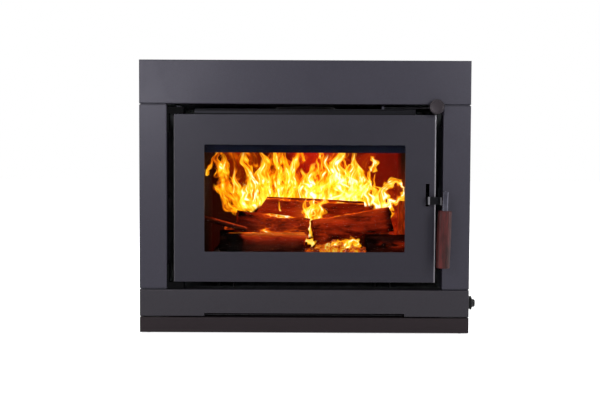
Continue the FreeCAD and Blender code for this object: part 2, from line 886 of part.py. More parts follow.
def make_firebox_top(depth):
    """The top plate with the flue hole, the three air ports and the spigot's bolt holes."""
    lid = block("top_blank", mirrored(firebox_half), depth, (firebox_ceiling, firebox_top))
    wall = d.firebox_wall
    stop = d.flue_bore_radius - d.flue_stop
    holes = [drill("flue_opening", "Z", stop, (ZERO, flue_y, firebox_ceiling), wall)]
    for x in port_centres():
        holes.append(block(
            "port", (x - d.port_length / 2, x + d.port_length / 2), (port_front, port_front + d.port_width),
            overrun(firebox_ceiling, firebox_top)))
    for x, y in flue_bolt_places():
        hole_radius = d.flue_bolt_radius + d.screw_clearance
        holes.append(drill("flue_bolt_hole", "Z", hole_radius, (x, y, firebox_ceiling), wall))
    node("firebox_top", cut("firebox_top", lid, holes))


def make_front_plate():
    """The plate that the door's rope seals against, round the firebox mouth."""
    body = new_body("firebox_front", y=plate_back)
    sketch = new_sketch(body, "XZ_Plane", "plate")
    add_rectangle(sketch, mirrored(firebox_half), (firebox_bottom, firebox_top))
    mouth_half = window_half + d.mouth_margin
    half_height = window_half_height + d.mouth_margin
    pad(body, sketch, d.front_plate)
    mouth = new_sketch(body, "XZ_Plane", "mouth")
    add_rectangle(mouth, mirrored(mouth_half), (door_middle - half_height, door_middle + half_height))
    opened = pocket(body, mouth, d.front_plate, backwards=True)
    corner = mouth_half.number
    round_edges(
        body, opened, d.mouth_round,
        lambda box: near(abs(box.XMin), corner) and near(box.XLength, 0) and near(box.ZLength, 0))
    node("firebox_front", body)


def make_bricks():
    """Fire bricks: a floor of loose bricks, with side and rear bricks standing on it."""
    joint = d.brick_joint
    columns, rows = DRIVING_SIZES["brick_columns"], DRIVING_SIZES["brick_rows"]
    floor_x = mirrored(firebox_inner - joint)
    floor_y = (plate_back + joint, firebox_back_inner - joint)
    step_x = (floor_x[1] - floor_x[0] + joint) / d.brick_columns
    step_y = (floor_y[1] - floor_y[0] + joint) / d.brick_rows
    floor = []
    for column in range(columns):
        for row_index in range(rows):
            x = floor_x[0] + column * step_x
            y = floor_y[0] + row_index * step_y
            floor.append(block(
                "floor_brick", (x, x + step_x - joint), (y, y + step_y - joint),
                (firebox_floor, brick_floor)))
    node("floor_bricks", group("floor_bricks", floor))
    upright = (brick_floor, brick_top)
    rear_y = (brick_rear, firebox_back_inner)
    walls = []
    for column in range(columns):
        x = floor_x[0] + column * step_x
        walls.append(block("rear_brick", (x, x + step_x - joint), rear_y, upright))
    side_y = (plate_back + joint, rear_y[0] - joint)
    side_step = (side_y[1] - side_y[0] + joint) / d.brick_rows
    for x in ((-firebox_inner, -brick_side), (brick_side, firebox_inner)):
        for row_index in range(rows):
            y = side_y[0] + row_index * side_step
            walls.append(block("side_brick", x, (y, y + side_step - joint), upright))
    node("wall_bricks", group("wall_bricks", walls))


def make_baffles():
    """The smoke baffle lies on the bricks; the airwash plate sends air down behind the glass."""
    joint = d.brick_joint
    node("baffle_plate", block(
        "baffle_plate", mirrored(firebox_inner - joint),
        (plate_back + d.baffle_front_gap, firebox_back_inner - joint),
        (brick_top, brick_top + d.baffle_thickness)))
    half = brick_side - d.airwash_side_gap
    body = new_body("airwash_plate", x=-half, y=plate_back + d.airwash_setback, z=firebox_ceiling)
    sketch = new_sketch(body, "YZ_Plane", "section")
    low = d.airwash_drop + d.airwash_slope_drop
    reach = d.airwash_slope_reach
    add_outline(sketch, [
        (ZERO, ZERO), (d.airwash_sheet, ZERO), (d.airwash_sheet, -d.airwash_drop),
        (d.airwash_sheet - reach, -low), (-reach, -low), (ZERO, -d.airwash_drop)])
    pad(body, sketch, half * 2)
    node("airwash_plate", body)
    bar_y = plate_back + d.log_bar_setback
    bar_x = mirrored(brick_side - d.log_bar_side_gap)
    upright = block("log_bar_web", bar_x, (bar_y, bar_y + d.log_bar_sheet),
                    (brick_floor, brick_floor + d.log_bar_height))
    foot = block("log_bar_foot", bar_x, (bar_y, bar_y + d.log_bar_foot),
                 (brick_floor, brick_floor + d.log_bar_sheet))
    node("log_bar", fuse("log_bar", [upright, foot]))


def make_fire():
    """An ember bed inside the bricks, with the logs stacked on it."""
    bed_front = plate_back + d.log_bar_setback + d.log_bar_foot
    body = new_body("ember_bed", z=brick_floor)
    sketch = new_sketch(body, "XY_Plane", "outline")
    add_rectangle(
        sketch, mirrored(brick_side - d.ember_side_gap), (bed_front, brick_rear - d.ember_rear_gap))
    slab = pad(body, sketch, d.ember_depth)
    high = d.ember_depth.number
    bevel = body.newObject("PartDesign::Chamfer", "bevel")
    bevel.Base = (slab, [f"Edge{index}" for index, edge in enumerate(slab.Shape.Edges, start=1)
                         if near(edge.BoundBox.ZMin, high)])
    bind(bevel, "Size", d.ember_edge)
    doc.recompute()
    node("ember_bed", body)
    make_logs(bed_front)


def make_logs(bed_front):
    """Four logs on the embers in three rows, two in the valley before them and one in the valley behind."""
    front = (bed_front + d.front_log_setback, bed_top + d.front_log_radius)
    middle = (front[0] + d.front_log_radius + d.middle_log_radius + d.front_row_gap,
              bed_top + d.middle_log_radius)
    back = (middle[0] + d.middle_log_radius + d.back_log_radius + d.back_row_gap,
            bed_top + d.back_log_radius)
    left_end = -brick_side + d.front_log_side_gap
    right_end = brick_side - d.end_log_side_gap
    row = mirrored(brick_side - d.row_log_side_gap)
    split = (d.upper_log_split - d.upper_log_gap / 2, d.upper_log_split + d.upper_log_gap / 2)
    top_start = d.top_log_shift - d.top_log_length / 2

    def in_valley(radius, before, before_radius, after, after_radius):
        return seat_on_two(before, before_radius + radius + d.log_clearance,
                           after, after_radius + radius + d.log_clearance)

    left = in_valley(d.left_log_radius, front, d.front_log_radius, middle, d.middle_log_radius)
    right = in_valley(d.right_log_radius, front, d.front_log_radius, middle, d.middle_log_radius)
    top = in_valley(d.top_log_radius, middle, d.middle_log_radius, back, d.back_log_radius)
    logs = [
        bar(name, "X", radius, (x[0], *centre), x[1] - x[0])
        for name, radius, x, centre in (
            ("front_log", d.front_log_radius, (left_end, left_end + d.front_log_length), front),
            ("end_log", d.front_log_radius, (right_end - d.end_log_length, right_end), front),
            ("middle_log", d.middle_log_radius, row, middle),
            ("back_log", d.back_log_radius, row, back),
            ("left_log", d.left_log_radius, (-brick_side + d.left_log_side_gap, split[0]), left),
            ("right_log", d.right_log_radius, (split[1], brick_side - d.right_log_side_gap), right),
            ("top_log", d.top_log_radius, (top_start, top_start + d.top_log_length), top))]
    node("firewood", group("firewood", logs))


def seat_on_two(first, first_reach, second, second_reach):
    """The point above two others that lies at the given distance from each."""
    run = second[0] - first[0]
    rise = second[1] - first[1]
    apart = (run * run + rise * rise).root()
    along = (first_reach * first_reach - second_reach * second_reach + apart * apart) / (2 * apart)
    above = (first_reach * first_reach - along * along).root()
    y = first[0] + (along * run - above * rise) / apart
    z = first[1] + (along * rise + above * run) / apart
    return y, z


def flue_bolt_places():
    """Four bolts on the diagonals of the spigot's flange."""
    reach = d.flue_bolt_circle * as_size(0.5).root()
    return [(x, flue_y + y) for x in mirrored(reach) for y in mirrored(reach)]


def make_flue():
    body = new_body("spigot_blank", y=flue_y, z=firebox_top)
    bore = d.flue_bore_radius
    turned(body, [
        (bore, ZERO), (d.flue_flange_radius, ZERO), (d.flue_flange_radius, d.flue_flange),
        (bore + d.flue_wall, d.flue_flange), (bore + d.flue_wall, d.flue_height), (bore, d.flue_height)])
    holes = []
    bolts = []
    shank_length = d.firebox_wall + d.flue_flange
    for x, y in flue_bolt_places():
        holes.append(drill("flange_hole", "Z", d.flue_bolt_radius + d.screw_clearance,
                           (x, y, firebox_top), d.flue_flange))
        shank = bar("flue_bolt_shank", "Z", d.flue_bolt_radius, (x, y, firebox_ceiling), shank_length)
        head = hexagon("flue_bolt_head", d.flue_bolt_head_radius, (x, y, firebox_top + d.flue_flange),
                       d.flue_bolt_head_height)
        bolts.append(fuse("flue_bolt", [shank, head]))
    node("flue_spigot", cut("flue_spigot", body, holes))
    node("flue_bolts", group("flue_bolts", bolts))


# Air ports in the firebox top, and the damper that slides over them
port_front = plate_back + d.port_setback
damper_y = port_front + d.port_width / 2
damper_half = d.port_pitch + d.port_length / 2 + d.damper_end_margin
damper_bottom = firebox_top + d.damper_clearance
damper_top = damper_bottom + d.damper_thickness
air_rod_z = firebox_top + d.air_rod_height
tab_right = damper_half
air_box_top = firebox_top + d.air_box_height


def port_centres():
    return [step * d.port_pitch for step in (-1, 0, 1)]


def make_air_box():
    """A sheet cover over the damper, with a slot in its top for the damper's tab and an inlet in its rear."""
    half = firebox_half - d.air_box_inset
    box_y = (plate_front, plate_front + d.air_box_depth)
    cover = block("cover", mirrored(half), box_y, (firebox_top, air_box_top))
    lip = block("lip", mirrored(half - d.air_lip_inset), (plate_front - d.air_lip_reach, plate_front),
                (air_box_top - d.air_box_sheet, air_box_top))
    sheet_in = d.air_box_sheet
    inside = block("inside", mirrored(half - sheet_in), (box_y[0] + sheet_in, box_y[1] - sheet_in),
                   (firebox_top - d.cut_overrun, air_box_top - sheet_in))
    room = d.damper_tab / 2 + d.air_slot_clearance
    slot = block("slot", (tab_right - d.damper_tab - d.air_travel - d.air_slot_clearance,
                          tab_right + d.air_slot_clearance),
                 (damper_y - room, damper_y + room), overrun(air_box_top - sheet_in, air_box_top))
    inlets = [
        block("inlet", (x - d.air_inlet_length / 2, x + d.air_inlet_length / 2),
              overrun(box_y[1] - sheet_in, box_y[1]), (damper_top, air_box_top - sheet_in))
        for x in port_centres()]
    outer = fuse("cover_and_lip", [cover, lip])
    node("air_box", cut("air_box", cut("air_box_shell", outer, [inside]), [slot] + inlets))


def make_air_slide():
    """The damper with its tab, the rod that bends forward to the room, and the disc knob."""
    side = d.port_width / 2 + d.damper_side_margin
    plate = block("damper_plate", mirrored(damper_half), (damper_y - side, damper_y + side),
                  (damper_bottom, damper_top))
    ports = [
        block("damper_port", (x - d.port_length / 2, x + d.port_length / 2),
              (port_front, port_front + d.port_width), overrun(damper_bottom, damper_top))
        for x in port_centres()]
    half_tab = d.damper_tab / 2
    tab = block("damper_tab", (tab_right - d.damper_tab, tab_right),
                (damper_y - half_tab, damper_y + half_tab), (damper_top, air_rod_z + d.air_rod_radius))
    node("air_damper", fuse("air_damper", [cut("damper_sheet", plate, ports), tab]))

    knob_x = opening_half - d.air_knob_inset
    knob_back = fascia_front - d.air_knob_standoff
    bend_x = knob_x - d.air_rod_bend
    bend_y = damper_y - d.air_rod_bend
    along = bar("rod_along", "X", d.air_rod_radius, (tab_right, damper_y, air_rod_z), bend_x - tab_right)
    corner = bend(
        "rod_corner", d.air_rod_radius, d.air_rod_bend, (bend_x, bend_y, air_rod_z), FreeCAD.Rotation())
    forward = bar("rod_forward", "Y", d.air_rod_radius,
                  (knob_x, knob_back - d.air_knob_socket, air_rod_z),
                  bend_y - knob_back + d.air_knob_socket)
    node("air_rod", fuse("air_rod", [along, corner, forward]))

    body = new_body("air_knob", x=knob_x, y=knob_back, z=air_rod_z)
    bore = d.air_rod_radius
    turning = turned(body, [
        (ZERO, -d.air_knob_socket), (ZERO, -d.air_knob_thickness), (d.air_knob_radius, -d.air_knob_thickness),
        (d.air_knob_radius, ZERO), (bore, ZERO), (bore, -d.air_knob_socket)], plane="XY_Plane")
    rim = d.air_knob_radius.number
    round_edges(body, turning, d.air_knob_round, lambda box: near(box.XMax, rim) and near(box.YLength, 0))
    node("air_knob", body)


def make_door_panel():
    """A folded steel tray with the window opening, the latch slot, the pin holes and rounded side edges."""
    body = new_body("door_blank", y=door_back)
    outer = new_sketch(body, "XZ_Plane", "outer")
    add_rectangle(outer, mirrored(door_half), (door_bottom, door_top))
    pad(body, outer, d.door_depth)
    inner = new_sketch(body, "XZ_Plane", "inner")
    skin = d.door_skin
    add_rectangle(inner, mirrored(door_half - skin), (door_bottom + skin, door_top - skin))
    pocket(body, inner, d.door_depth - skin, "hollow", backwards=True)
    window = new_sketch(body, "XZ_Plane", "window")
    add_rectangle(
        window, mirrored(window_half), (door_middle - window_half_height, door_middle + window_half_height))
    opened = pocket(body, window, d.door_depth, "window_cut", backwards=True)
    front = -d.door_depth.number
    corner = window_half.number
    glazed = round_edges(
        body, opened, d.window_round,
        lambda box: near(abs(box.XMin), corner) and near(box.XLength, 0) and near(box.ZLength, 0),
        "window_corners")
    edge = door_half.number
    round_edges(
        body, glazed, d.door_edge_round,
        lambda box: near(box.YMin, front) and near(box.YMax, front) and near(abs(box.XMin), edge)
        and near(box.XLength, 0), "side_bends")
    pin_hole = d.hinge_pin_radius + d.screw_clearance * 2
    cuts = [
        block("latch_slot", (latch_x - d.slot_width / 2, latch_x + d.slot_width / 2),
              overrun(door_front, door_inner), (latch_z - d.slot_below_pivot, latch_z + d.slot_above_pivot))]
    for start in (door_bottom, door_top - skin):
        cuts.append(drill("pin_hole", "Z", pin_hole, (hinge_x, hinge_y, start), skin))
    node("door_panel", cut("door_panel", body, cuts))


def make_glazing():
    """The glass on its gasket, held by a clip along each edge."""
    window = (mirrored(glass_half), (door_middle - glass_half_height, door_middle + glass_half_height))
    node("door_glass", block("door_glass", window[0], (glass_front, glass_back), window[1]))
    body = new_body("glass_gasket", y=glass_front)
    ring = new_sketch(body, "XZ_Plane", "ring")
    add_rectangle(ring, *window)
    add_rectangle(ring, *[(ends[0] + d.gasket_width, ends[1] - d.gasket_width) for ends in window])
    pad(body, ring, d.gasket_thickness)
    node("glass_gasket", body)

    leg_y = (door_inner, glass_back + d.clip_sheet)
    flange_y = (glass_back, glass_back + d.clip_sheet)
    clips = []
    screws = []
    for sign in (-1, 1):
        edge = glass_half * sign
        leg = ordered(edge + sign * d.clip_side_gap, edge + sign * (d.clip_side_gap + d.clip_sheet))
        flange = ordered(edge - sign * d.clip_grip, edge + sign * (d.clip_side_gap + d.clip_sheet))
        tall = (window[1][0] + d.clip_corner_gap, window[1][1] - d.clip_corner_gap)
        clips.append(fuse("side_clip", [
            block("side_leg", leg, leg_y, tall), block("side_flange", flange, flange_y, tall)]))
        edge_z = door_middle + sign * glass_half_height
        leg_z = ordered(edge_z + sign * d.clip_side_gap, edge_z + sign * (d.clip_side_gap + d.clip_sheet))
        flange_z = ordered(edge_z - sign * d.clip_grip, edge_z + sign * (d.clip_side_gap + d.clip_sheet))
        wide = (window[0][0] + d.clip_corner_gap, window[0][1] - d.clip_corner_gap)
        clips.append(fuse("end_clip", [
            block("end_leg", wide, leg_y, leg_z), block("end_flange", wide, flange_y, flange_z)]))
        for x in mirrored(wide[1] - d.clip_corner_gap):
            screws.append(clip_screw(x, edge_z - sign * d.clip_grip / 2))
        for z in (tall[0] + d.clip_corner_gap, tall[1] - d.clip_corner_gap):
            screws.append(clip_screw(edge - sign * d.clip_grip / 2, z))
    node("glass_clips", group("glass_clips", clips))
    node("clip_screws", group("clip_screws", screws))


def ordered(first, second):
    """Two ends of a span, lower first."""
    return (first, second) if first.number < second.number else (second, first)


def clip_screw(x, z):
    """A round screw head on a clip."""
    return bar("clip_screw", "Y", d.clip_screw_radius, (x, glass_back + d.clip_sheet, z), d.clip_screw_head)


def make_seal():
    """A frame behind the door skin with a groove for the rope that seals on the front plate."""
    body = new_body("seal_frame", y=door_inner + d.seal_frame_depth)
    ring = new_sketch(body, "XZ_Plane", "ring")
    width = d.seal_frame_width
    add_rectangle(ring, mirrored(seal_inner + width),
                  (door_middle - seal_inner_height - width, door_middle + seal_inner_height + width))
    add_rectangle(
        ring, mirrored(seal_inner), (door_middle - seal_inner_height, door_middle + seal_inner_height))
    pad(body, ring, d.seal_frame_depth)
    groove_half = d.rope_radius + d.rope_clearance
    rope_y = plate_front - d.seal_gap - d.rope_radius
    groove_depth = door_inner + d.seal_frame_depth - (rope_y - d.rope_radius - d.rope_clearance)
    groove = new_sketch(body, "XZ_Plane", "groove")
    for reach in (groove_half, -groove_half):
        add_rectangle(groove, mirrored(seal_line + reach),
                      (door_middle - seal_line_height - reach, door_middle + seal_line_height + reach))
    grooved = pocket(body, groove, groove_depth, "groove_cut", backwards=True)
    island = (seal_line - groove_half).number
    round_edges(
        body, grooved, d.rope_bend - groove_half,
        lambda box: near(abs(box.XMin), island) and near(box.XLength, 0) and near(box.ZLength, 0))
    node("seal_frame", body)

    run_x = seal_line - d.rope_bend
    run_z = seal_line_height - d.rope_bend
    flat = FreeCAD.Rotation(Vector(1, 0, 0), 90)
    pieces = []
    for quarter, (sign_x, sign_z) in enumerate(((1, 1), (-1, 1), (-1, -1), (1, -1))):
        turn = FreeCAD.Rotation(Vector(0, 1, 0), -90 * quarter)
        centre = (sign_x * run_x, rope_y, door_middle + sign_z * run_z)
        pieces.append(bend("rope_corner", d.rope_radius, d.rope_bend, centre, turn * flat))
    for sign in (-1, 1):
        pieces.append(bar("rope_run", "X", d.rope_radius,
                          (-run_x, rope_y, door_middle + sign * seal_line_height), run_x * 2))
        pieces.append(bar("rope_rise", "Z", d.rope_radius,
                          (sign * seal_line, rope_y, door_middle - run_z), run_z * 2))
    node("rope_seal", fuse("rope_seal", pieces))


def make_hinge():
    """Lugs on the fascia's left return carry pins that stand in blocks inside the door's left edge."""
    bore = d.hinge_pin_radius + d.hinge_fit
    block_x = (-door_half + d.door_skin, -door_half + d.door_skin + d.hinge_block_width)
    block_y = (door_inner, door_inner + d.hinge_block_depth)
    lug_x = (-opening_half, hinge_x + d.lug_end)
    lug_y = (hinge_y - d.lug_front, hinge_y + d.lug_back)
    web_x = (-opening_half, -opening_half + d.lug_web)
    lugs = []
    pins = []
    blocks = []
    for sign, edge in ((1, door_top), (-1, door_bottom)):
        lug_z = ordered(edge + sign * d.lug_gap, edge + sign * (d.lug_gap + d.lug_thickness))
        web_z = ordered(edge + sign * d.lug_gap, edge + sign * (d.lug_gap - d.lug_web_height))
        arm = block("lug_arm", lug_x, lug_y, lug_z)
        web = block("lug_web", web_x, lug_y, web_z)
        hole = drill("lug_bore", "Z", bore, (hinge_x, hinge_y, lug_z[0]), d.lug_thickness)
        lugs.append(cut("lug", fuse("lug_blank", [arm, web]), [hole]))

        inner = edge - sign * d.door_skin
        block_z = ordered(inner, inner - sign * d.hinge_block_height)
        socket = drill("block_bore", "Z", bore, (hinge_x, hinge_y, block_z[0]), d.hinge_block_height)
        blocks.append(cut("hinge_block", block("block_blank", block_x, block_y, block_z), [socket]))

        outer = edge + sign * (d.lug_gap + d.lug_thickness)
        pin_z = ordered(outer, inner - sign * d.hinge_block_height)
        pins.append(bar(
            "pin_shank", "Z", d.hinge_pin_radius, (hinge_x, hinge_y, pin_z[0]), pin_z[1] - pin_z[0]))
    lift_out_top = door_top + d.lug_gap + d.lug_thickness
    head = bar("pin_head", "Z", d.hinge_head_radius, (hinge_x, hinge_y, lift_out_top), d.hinge_head_height)
    pins[0] = fuse("upper_hinge_pin", [pins[0], head])
    node("hinge_lugs", group("hinge_lugs", lugs))
    node("hinge_pins", group("hinge_pins", pins))
    node("hinge_blocks", group("hinge_blocks", blocks))


def make_latch_seat():
    """Two cheeks behind the latch slot, with the pivot pin across them."""
    half_gap = d.lever_thickness / 2 + d.cheek_gap
    cheek_y = (door_inner, door_inner + d.cheek_depth)
    cheek_z = (latch_z - d.cheek_height / 2, latch_z + d.cheek_height / 2)
    left = (latch_x - half_gap - d.cheek_sheet, latch_x - half_gap)
    right = (latch_x + half_gap, latch_x + half_gap + d.cheek_sheet)
    span = right[1] - left[0]
    cheeks = []
    for x in (left, right):
        hole = drill("cheek_hole", "X", d.latch_pin_radius, (left[0], latch_y, latch_z), span)
        cheeks.append(cut("cheek", block("cheek_blank", x, cheek_y, cheek_z), [hole]))
    node("latch_cheeks", group("latch_cheeks", cheeks))
    node("latch_pin", bar("latch_pin", "X", d.latch_pin_radius, (left[0], latch_y, latch_z), span))


def make_latch():
    """The lever through the slot, ending in a hook under the catch pin, with the bent strap of the handle."""
    body = new_body("latch_lever", x=lever_left, y=latch_y, z=latch_z)
    sketch = new_sketch(body, "YZ_Plane", "outline")
    front = strap_back - latch_y
    recess = lever_half - d.hook_recess
    slot_end = d.lever_tail + d.hook_slot
    nose_end = slot_end + d.hook_nose
    bevel = d.hook_bevel
    add_outline(sketch, [
        (front, -lever_half), (front, lever_half), (d.lever_tail, lever_half),
        (d.lever_tail + bevel, recess), (slot_end - bevel, recess), (slot_end, lever_half),
        (nose_end, lever_half), (nose_end + bevel, recess), (nose_end - bevel, -lever_half)])
    add_circle(sketch, (ZERO, ZERO), d.latch_pin_radius + d.latch_fit)
    pad(body, sketch, d.lever_thickness)
    node("latch_lever", body)

    bend_x = d.handle_offset + d.lever_thickness / 2 - d.strap_thickness
    reach = strap_back - handle_y
    thick = d.strap_thickness
    strap = new_body("strap_blank", x=lever_left, y=strap_back, z=latch_z - lever_half)
    plan = new_sketch(strap, "XY_Plane", "plan")
    add_outline(plan, [
        (ZERO, ZERO), (bend_x, ZERO), (bend_x, -reach), (bend_x - thick, -reach), (bend_x - thick, -thick),
        (ZERO, -thick)])
    flat = pad(strap, plan, d.lever_height)
    outer_bend = bend_x.number
    round_edges(
        strap, flat, thick,
        lambda box: near(box.XLength, 0) and near(box.YLength, 0) and near(box.XMin, outer_bend)
        and near(box.YMin, 0))
    rod = make_handle_rod()
    node("handle_strap", cut("handle_strap", strap, [rod]))


def make_handle_rod():
    """The upright rod with a thinner tail inside the wooden grip, both leaning a little out of plumb."""
    lean = FreeCAD.Rotation(Vector(0, 1, 0), d.handle_tilt.number)
    rod = new_body("handle_rod", x=handle_x, y=handle_y, z=latch_z, rotation=lean)
    bind(rod, "Placement.Rotation.Angle", d.handle_tilt)
    tail_end = -d.grip_below_pivot - d.rod_tail_length
    turned(rod, [
        (ZERO, d.rod_above_pivot), (d.rod_radius - d.rod_chamfer, d.rod_above_pivot),
        (d.rod_radius, d.rod_above_pivot - d.rod_chamfer), (d.rod_radius, -d.grip_below_pivot),
        (d.rod_tail_radius, -d.grip_below_pivot), (d.rod_tail_radius, tail_end), (ZERO, tail_end)])
    node("handle_rod", rod)

    grip = new_body("handle_grip", x=handle_x, y=handle_y, z=latch_z, rotation=lean)
    bind(grip, "Placement.Rotation.Angle", d.handle_tilt)
    bore = d.rod_tail_radius + d.rod_tail_fit
    grip_top = -d.grip_below_pivot
    grip_end = grip_top - d.grip_length
    turning = turned(grip, [
        (bore, grip_top), (d.grip_radius, grip_top), (d.grip_radius, grip_end), (ZERO, grip_end),
        (ZERO, tail_end), (bore, tail_end)])
    rim = d.grip_radius.number
    round_edges(grip, turning, d.grip_round, lambda box: near(box.XMax, rim) and near(box.ZLength, 0))
    node("handle_grip", grip)
    return rod


def make_catch():
    """A plate on the firebox wall with the pin that the latch hook closes behind."""
    pin_y = latch_y + d.lever_tail + d.hook_slot / 2
    pin_z = latch_z + lever_half + d.catch_clearance + d.catch_pin_radius
    half = d.catch_plate_size / 2
    seat = block("catch_seat", (firebox_half, firebox_half + d.catch_plate),
                 (plate_back, plate_back + d.catch_plate_size), (pin_z - half, pin_z + half))
    pin = bar("catch_pin", "X", d.catch_pin_radius, (firebox_half, pin_y, pin_z), d.catch_pin_length)
    node("door_catch", fuse("door_catch", [seat, pin]))


def make_fan():
    """A cross-flow fan: impeller between two end plates, a scroll behind it and a motor at its right."""
    y, z = d.fan_setback, d.fan_height
    body = new_body("fan_impeller", x=fan_left, y=y, z=z)
    for offset, name in ((ZERO, "left_disc"), (d.fan_length - d.fan_disc, "right_disc")):
        disc = new_sketch(body, "YZ_Plane", name, offset)
        add_circle(disc, (ZERO, ZERO), d.fan_radius)
        pad(body, disc, d.fan_disc, f"{name}_pad")
    shaft = new_sketch(body, "YZ_Plane", "shaft", -d.fan_end_gap - d.fan_plate)
    add_circle(shaft, (ZERO, ZERO), d.fan_shaft_radius)
    overrun = d.fan_end_gap + d.fan_plate
    pad(body, shaft, d.fan_length + overrun * 2 + d.fan_shaft_overrun, "shaft_pad")
    blade = new_sketch(body, "YZ_Plane", "blade")
    inner = d.fan_radius - d.fan_blade_width
    outer = d.fan_radius - d.fan_blade_sheet / 2
    add_outline(blade, [
        (inner, ZERO), (outer, d.fan_blade_rake), (outer, d.fan_blade_rake + d.fan_blade_sheet),
        (inner, d.fan_blade_sheet)])
    blade_pad = pad(body, blade, d.fan_length, "blade_pad")
    ring = body.newObject("PartDesign::PolarPattern", "blades")
    ring.Originals = [blade_pad]
    ring.Axis = (blade, ["N_Axis"])
    ring.Angle = 360
    bind(ring, "Occurrences", d.fan_blade_count)
    body.Tip = ring
    doc.recompute()
    node("fan_impeller", body)

    plate_y = (y - d.fan_plate_width / 2, y + d.fan_plate_width / 2)
    bore = d.fan_shaft_radius + d.fan_fit
    plates = []
    for x in ((fan_plate_left - d.fan_plate, fan_plate_left),
              (fan_plate_right, fan_plate_right + d.fan_plate)):
        hole = drill("shaft_hole", "X", bore, (x[0], y, z), d.fan_plate)
        blank = block("plate_blank", x, plate_y, (pan_top, deck_bottom - d.fan_plate_gap))
        plates.append(cut("end_plate", blank, [hole]))
    node("fan_end_plates", group("fan_end_plates", plates))

    scroll_inner = d.fan_radius + d.scroll_clearance
    scroll_length = fan_plate_right - fan_plate_left
    tube = bar("scroll_tube", "X", scroll_inner + d.scroll_sheet, (fan_plate_left, y, z), scroll_length)
    bind(tube, "Angle", d.scroll_wrap)
    hollow = drill("scroll_hollow", "X", scroll_inner, (fan_plate_left, y, z), scroll_length)
    node("fan_scroll", cut("fan_scroll", tube, [hollow]))

    motor_left = fan_plate_right + d.fan_plate
    drum = bar("motor_drum", "X", d.motor_radius, (motor_left, y, z), d.motor_length)
    half_foot = d.motor_foot_width / 2
    foot = block("motor_foot", (motor_left, motor_left + d.motor_length), (y - half_foot, y + half_foot),
                 (pan_top, z - d.motor_radius / 2))
    socket = drill("motor_socket", "X", bore, (motor_left, y, z), d.fan_shaft_overrun)
    node("fan_motor", cut("fan_motor", fuse("motor_blank", [drum, foot]), [socket]))


# Speed knob at the right end of the lower panel
control_y = fascia_front / 2
control_z = (lower_bottom + lower_top) / 2


def make_speed_control():
    """The control behind the panel's end, its shaft through the bush, and the skirted knob outside."""
    face = half_width - d.fascia_sheet
    half = d.control_width / 2
    box = block("control_box", (face - d.control_length, face), (control_y - half, control_y + half),
                (control_z - half, control_z + half))
    bush = bar("control_bush", "X", d.control_bush_radius, (face, control_y, control_z), d.fascia_sheet)
    bore = drill("control_bore", "X", d.control_shaft_radius + d.control_shaft_fit,
                 (face - d.control_shaft_depth, control_y, control_z), d.control_shaft_depth + d.fascia_sheet)
    node("speed_control", cut("speed_control", fuse("control_blank", [box, bush]), [bore]))
    shaft_end = d.fan_knob_gap + d.control_socket_depth
    node("knob_shaft", bar(
        "knob_shaft", "X", d.control_shaft_radius, (face - d.control_shaft_depth, control_y, control_z),
        d.control_shaft_depth + d.fascia_sheet + shaft_end))

    knob = new_body("fan_knob", x=half_width + d.fan_knob_gap, y=control_y, z=control_z)
    bore_radius = d.control_shaft_radius
    waist = d.fan_knob_skirt + (d.fan_knob_length - d.fan_knob_skirt) / 4
    waist_radius = d.fan_knob_grip_radius + (d.fan_knob_radius - d.fan_knob_grip_radius) / 4
    turned(knob, [
        (ZERO, bore_radius), (ZERO, d.fan_knob_radius), (d.fan_knob_skirt, d.fan_knob_radius),
        (waist, waist_radius), (d.fan_knob_length, d.fan_knob_grip_radius), (d.fan_knob_length, ZERO),
        (d.control_socket_depth, ZERO), (d.control_socket_depth, bore_radius)],
        plane="XY_Plane", axis="H_Axis")
    node("fan_knob", knob)


def make_gland():
    """The cable gland in the casing back: a flange nut each side of the sheet and a bored stem."""
    x, z = casing_half - d.gland_inset, d.gland_height
    back = d.casing_depth + d.casing_sheet
    inside = d.casing_depth - d.gland_nut_height
    stem = bar("gland_stem", "Y", d.gland_hole_radius, (x, inside, z), d.gland_length)
    nuts = [
        bar("gland_nut", "Y", d.gland_nut_radius, (x, start, z), d.gland_nut_height)
        for start in (inside, back)]
    bore = drill("gland_bore", "Y", d.gland_bore_radius, (x, inside, z), d.gland_length)
    node("cable_gland", cut("cable_gland", fuse("gland_blank", [stem] + nuts), [bore]))


make_fascia()
make_lower_panel()
make_plinth()
make_casing()
make_deck()
make_firebox()
make_bricks()
make_baffles()
make_fire()
make_flue()
make_air_box()
make_air_slide()
make_door_panel()
make_glazing()
make_seal()
make_hinge()
make_latch_seat()
make_latch()
make_catch()
make_fan()
make_speed_control()
make_gland()
doc.recompute()

failed = [item.Name for item in doc.Objects if "Invalid" in item.State or "Error" in item.State]
if failed:
    raise RuntimeError(f"failed features: {failed}")
for item in nodes:
    if item.Shape.isNull() or not item.Shape.isValid() or not item.Shape.Solids:
        raise RuntimeError(f"{item.Label}: no valid solid")

os.makedirs("parts", exist_ok=True)
for item in nodes:
    item.Shape.exportStep(f"parts/{item.Label}.step")
print(f"{len(nodes)} sub-parts written")
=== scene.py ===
import math

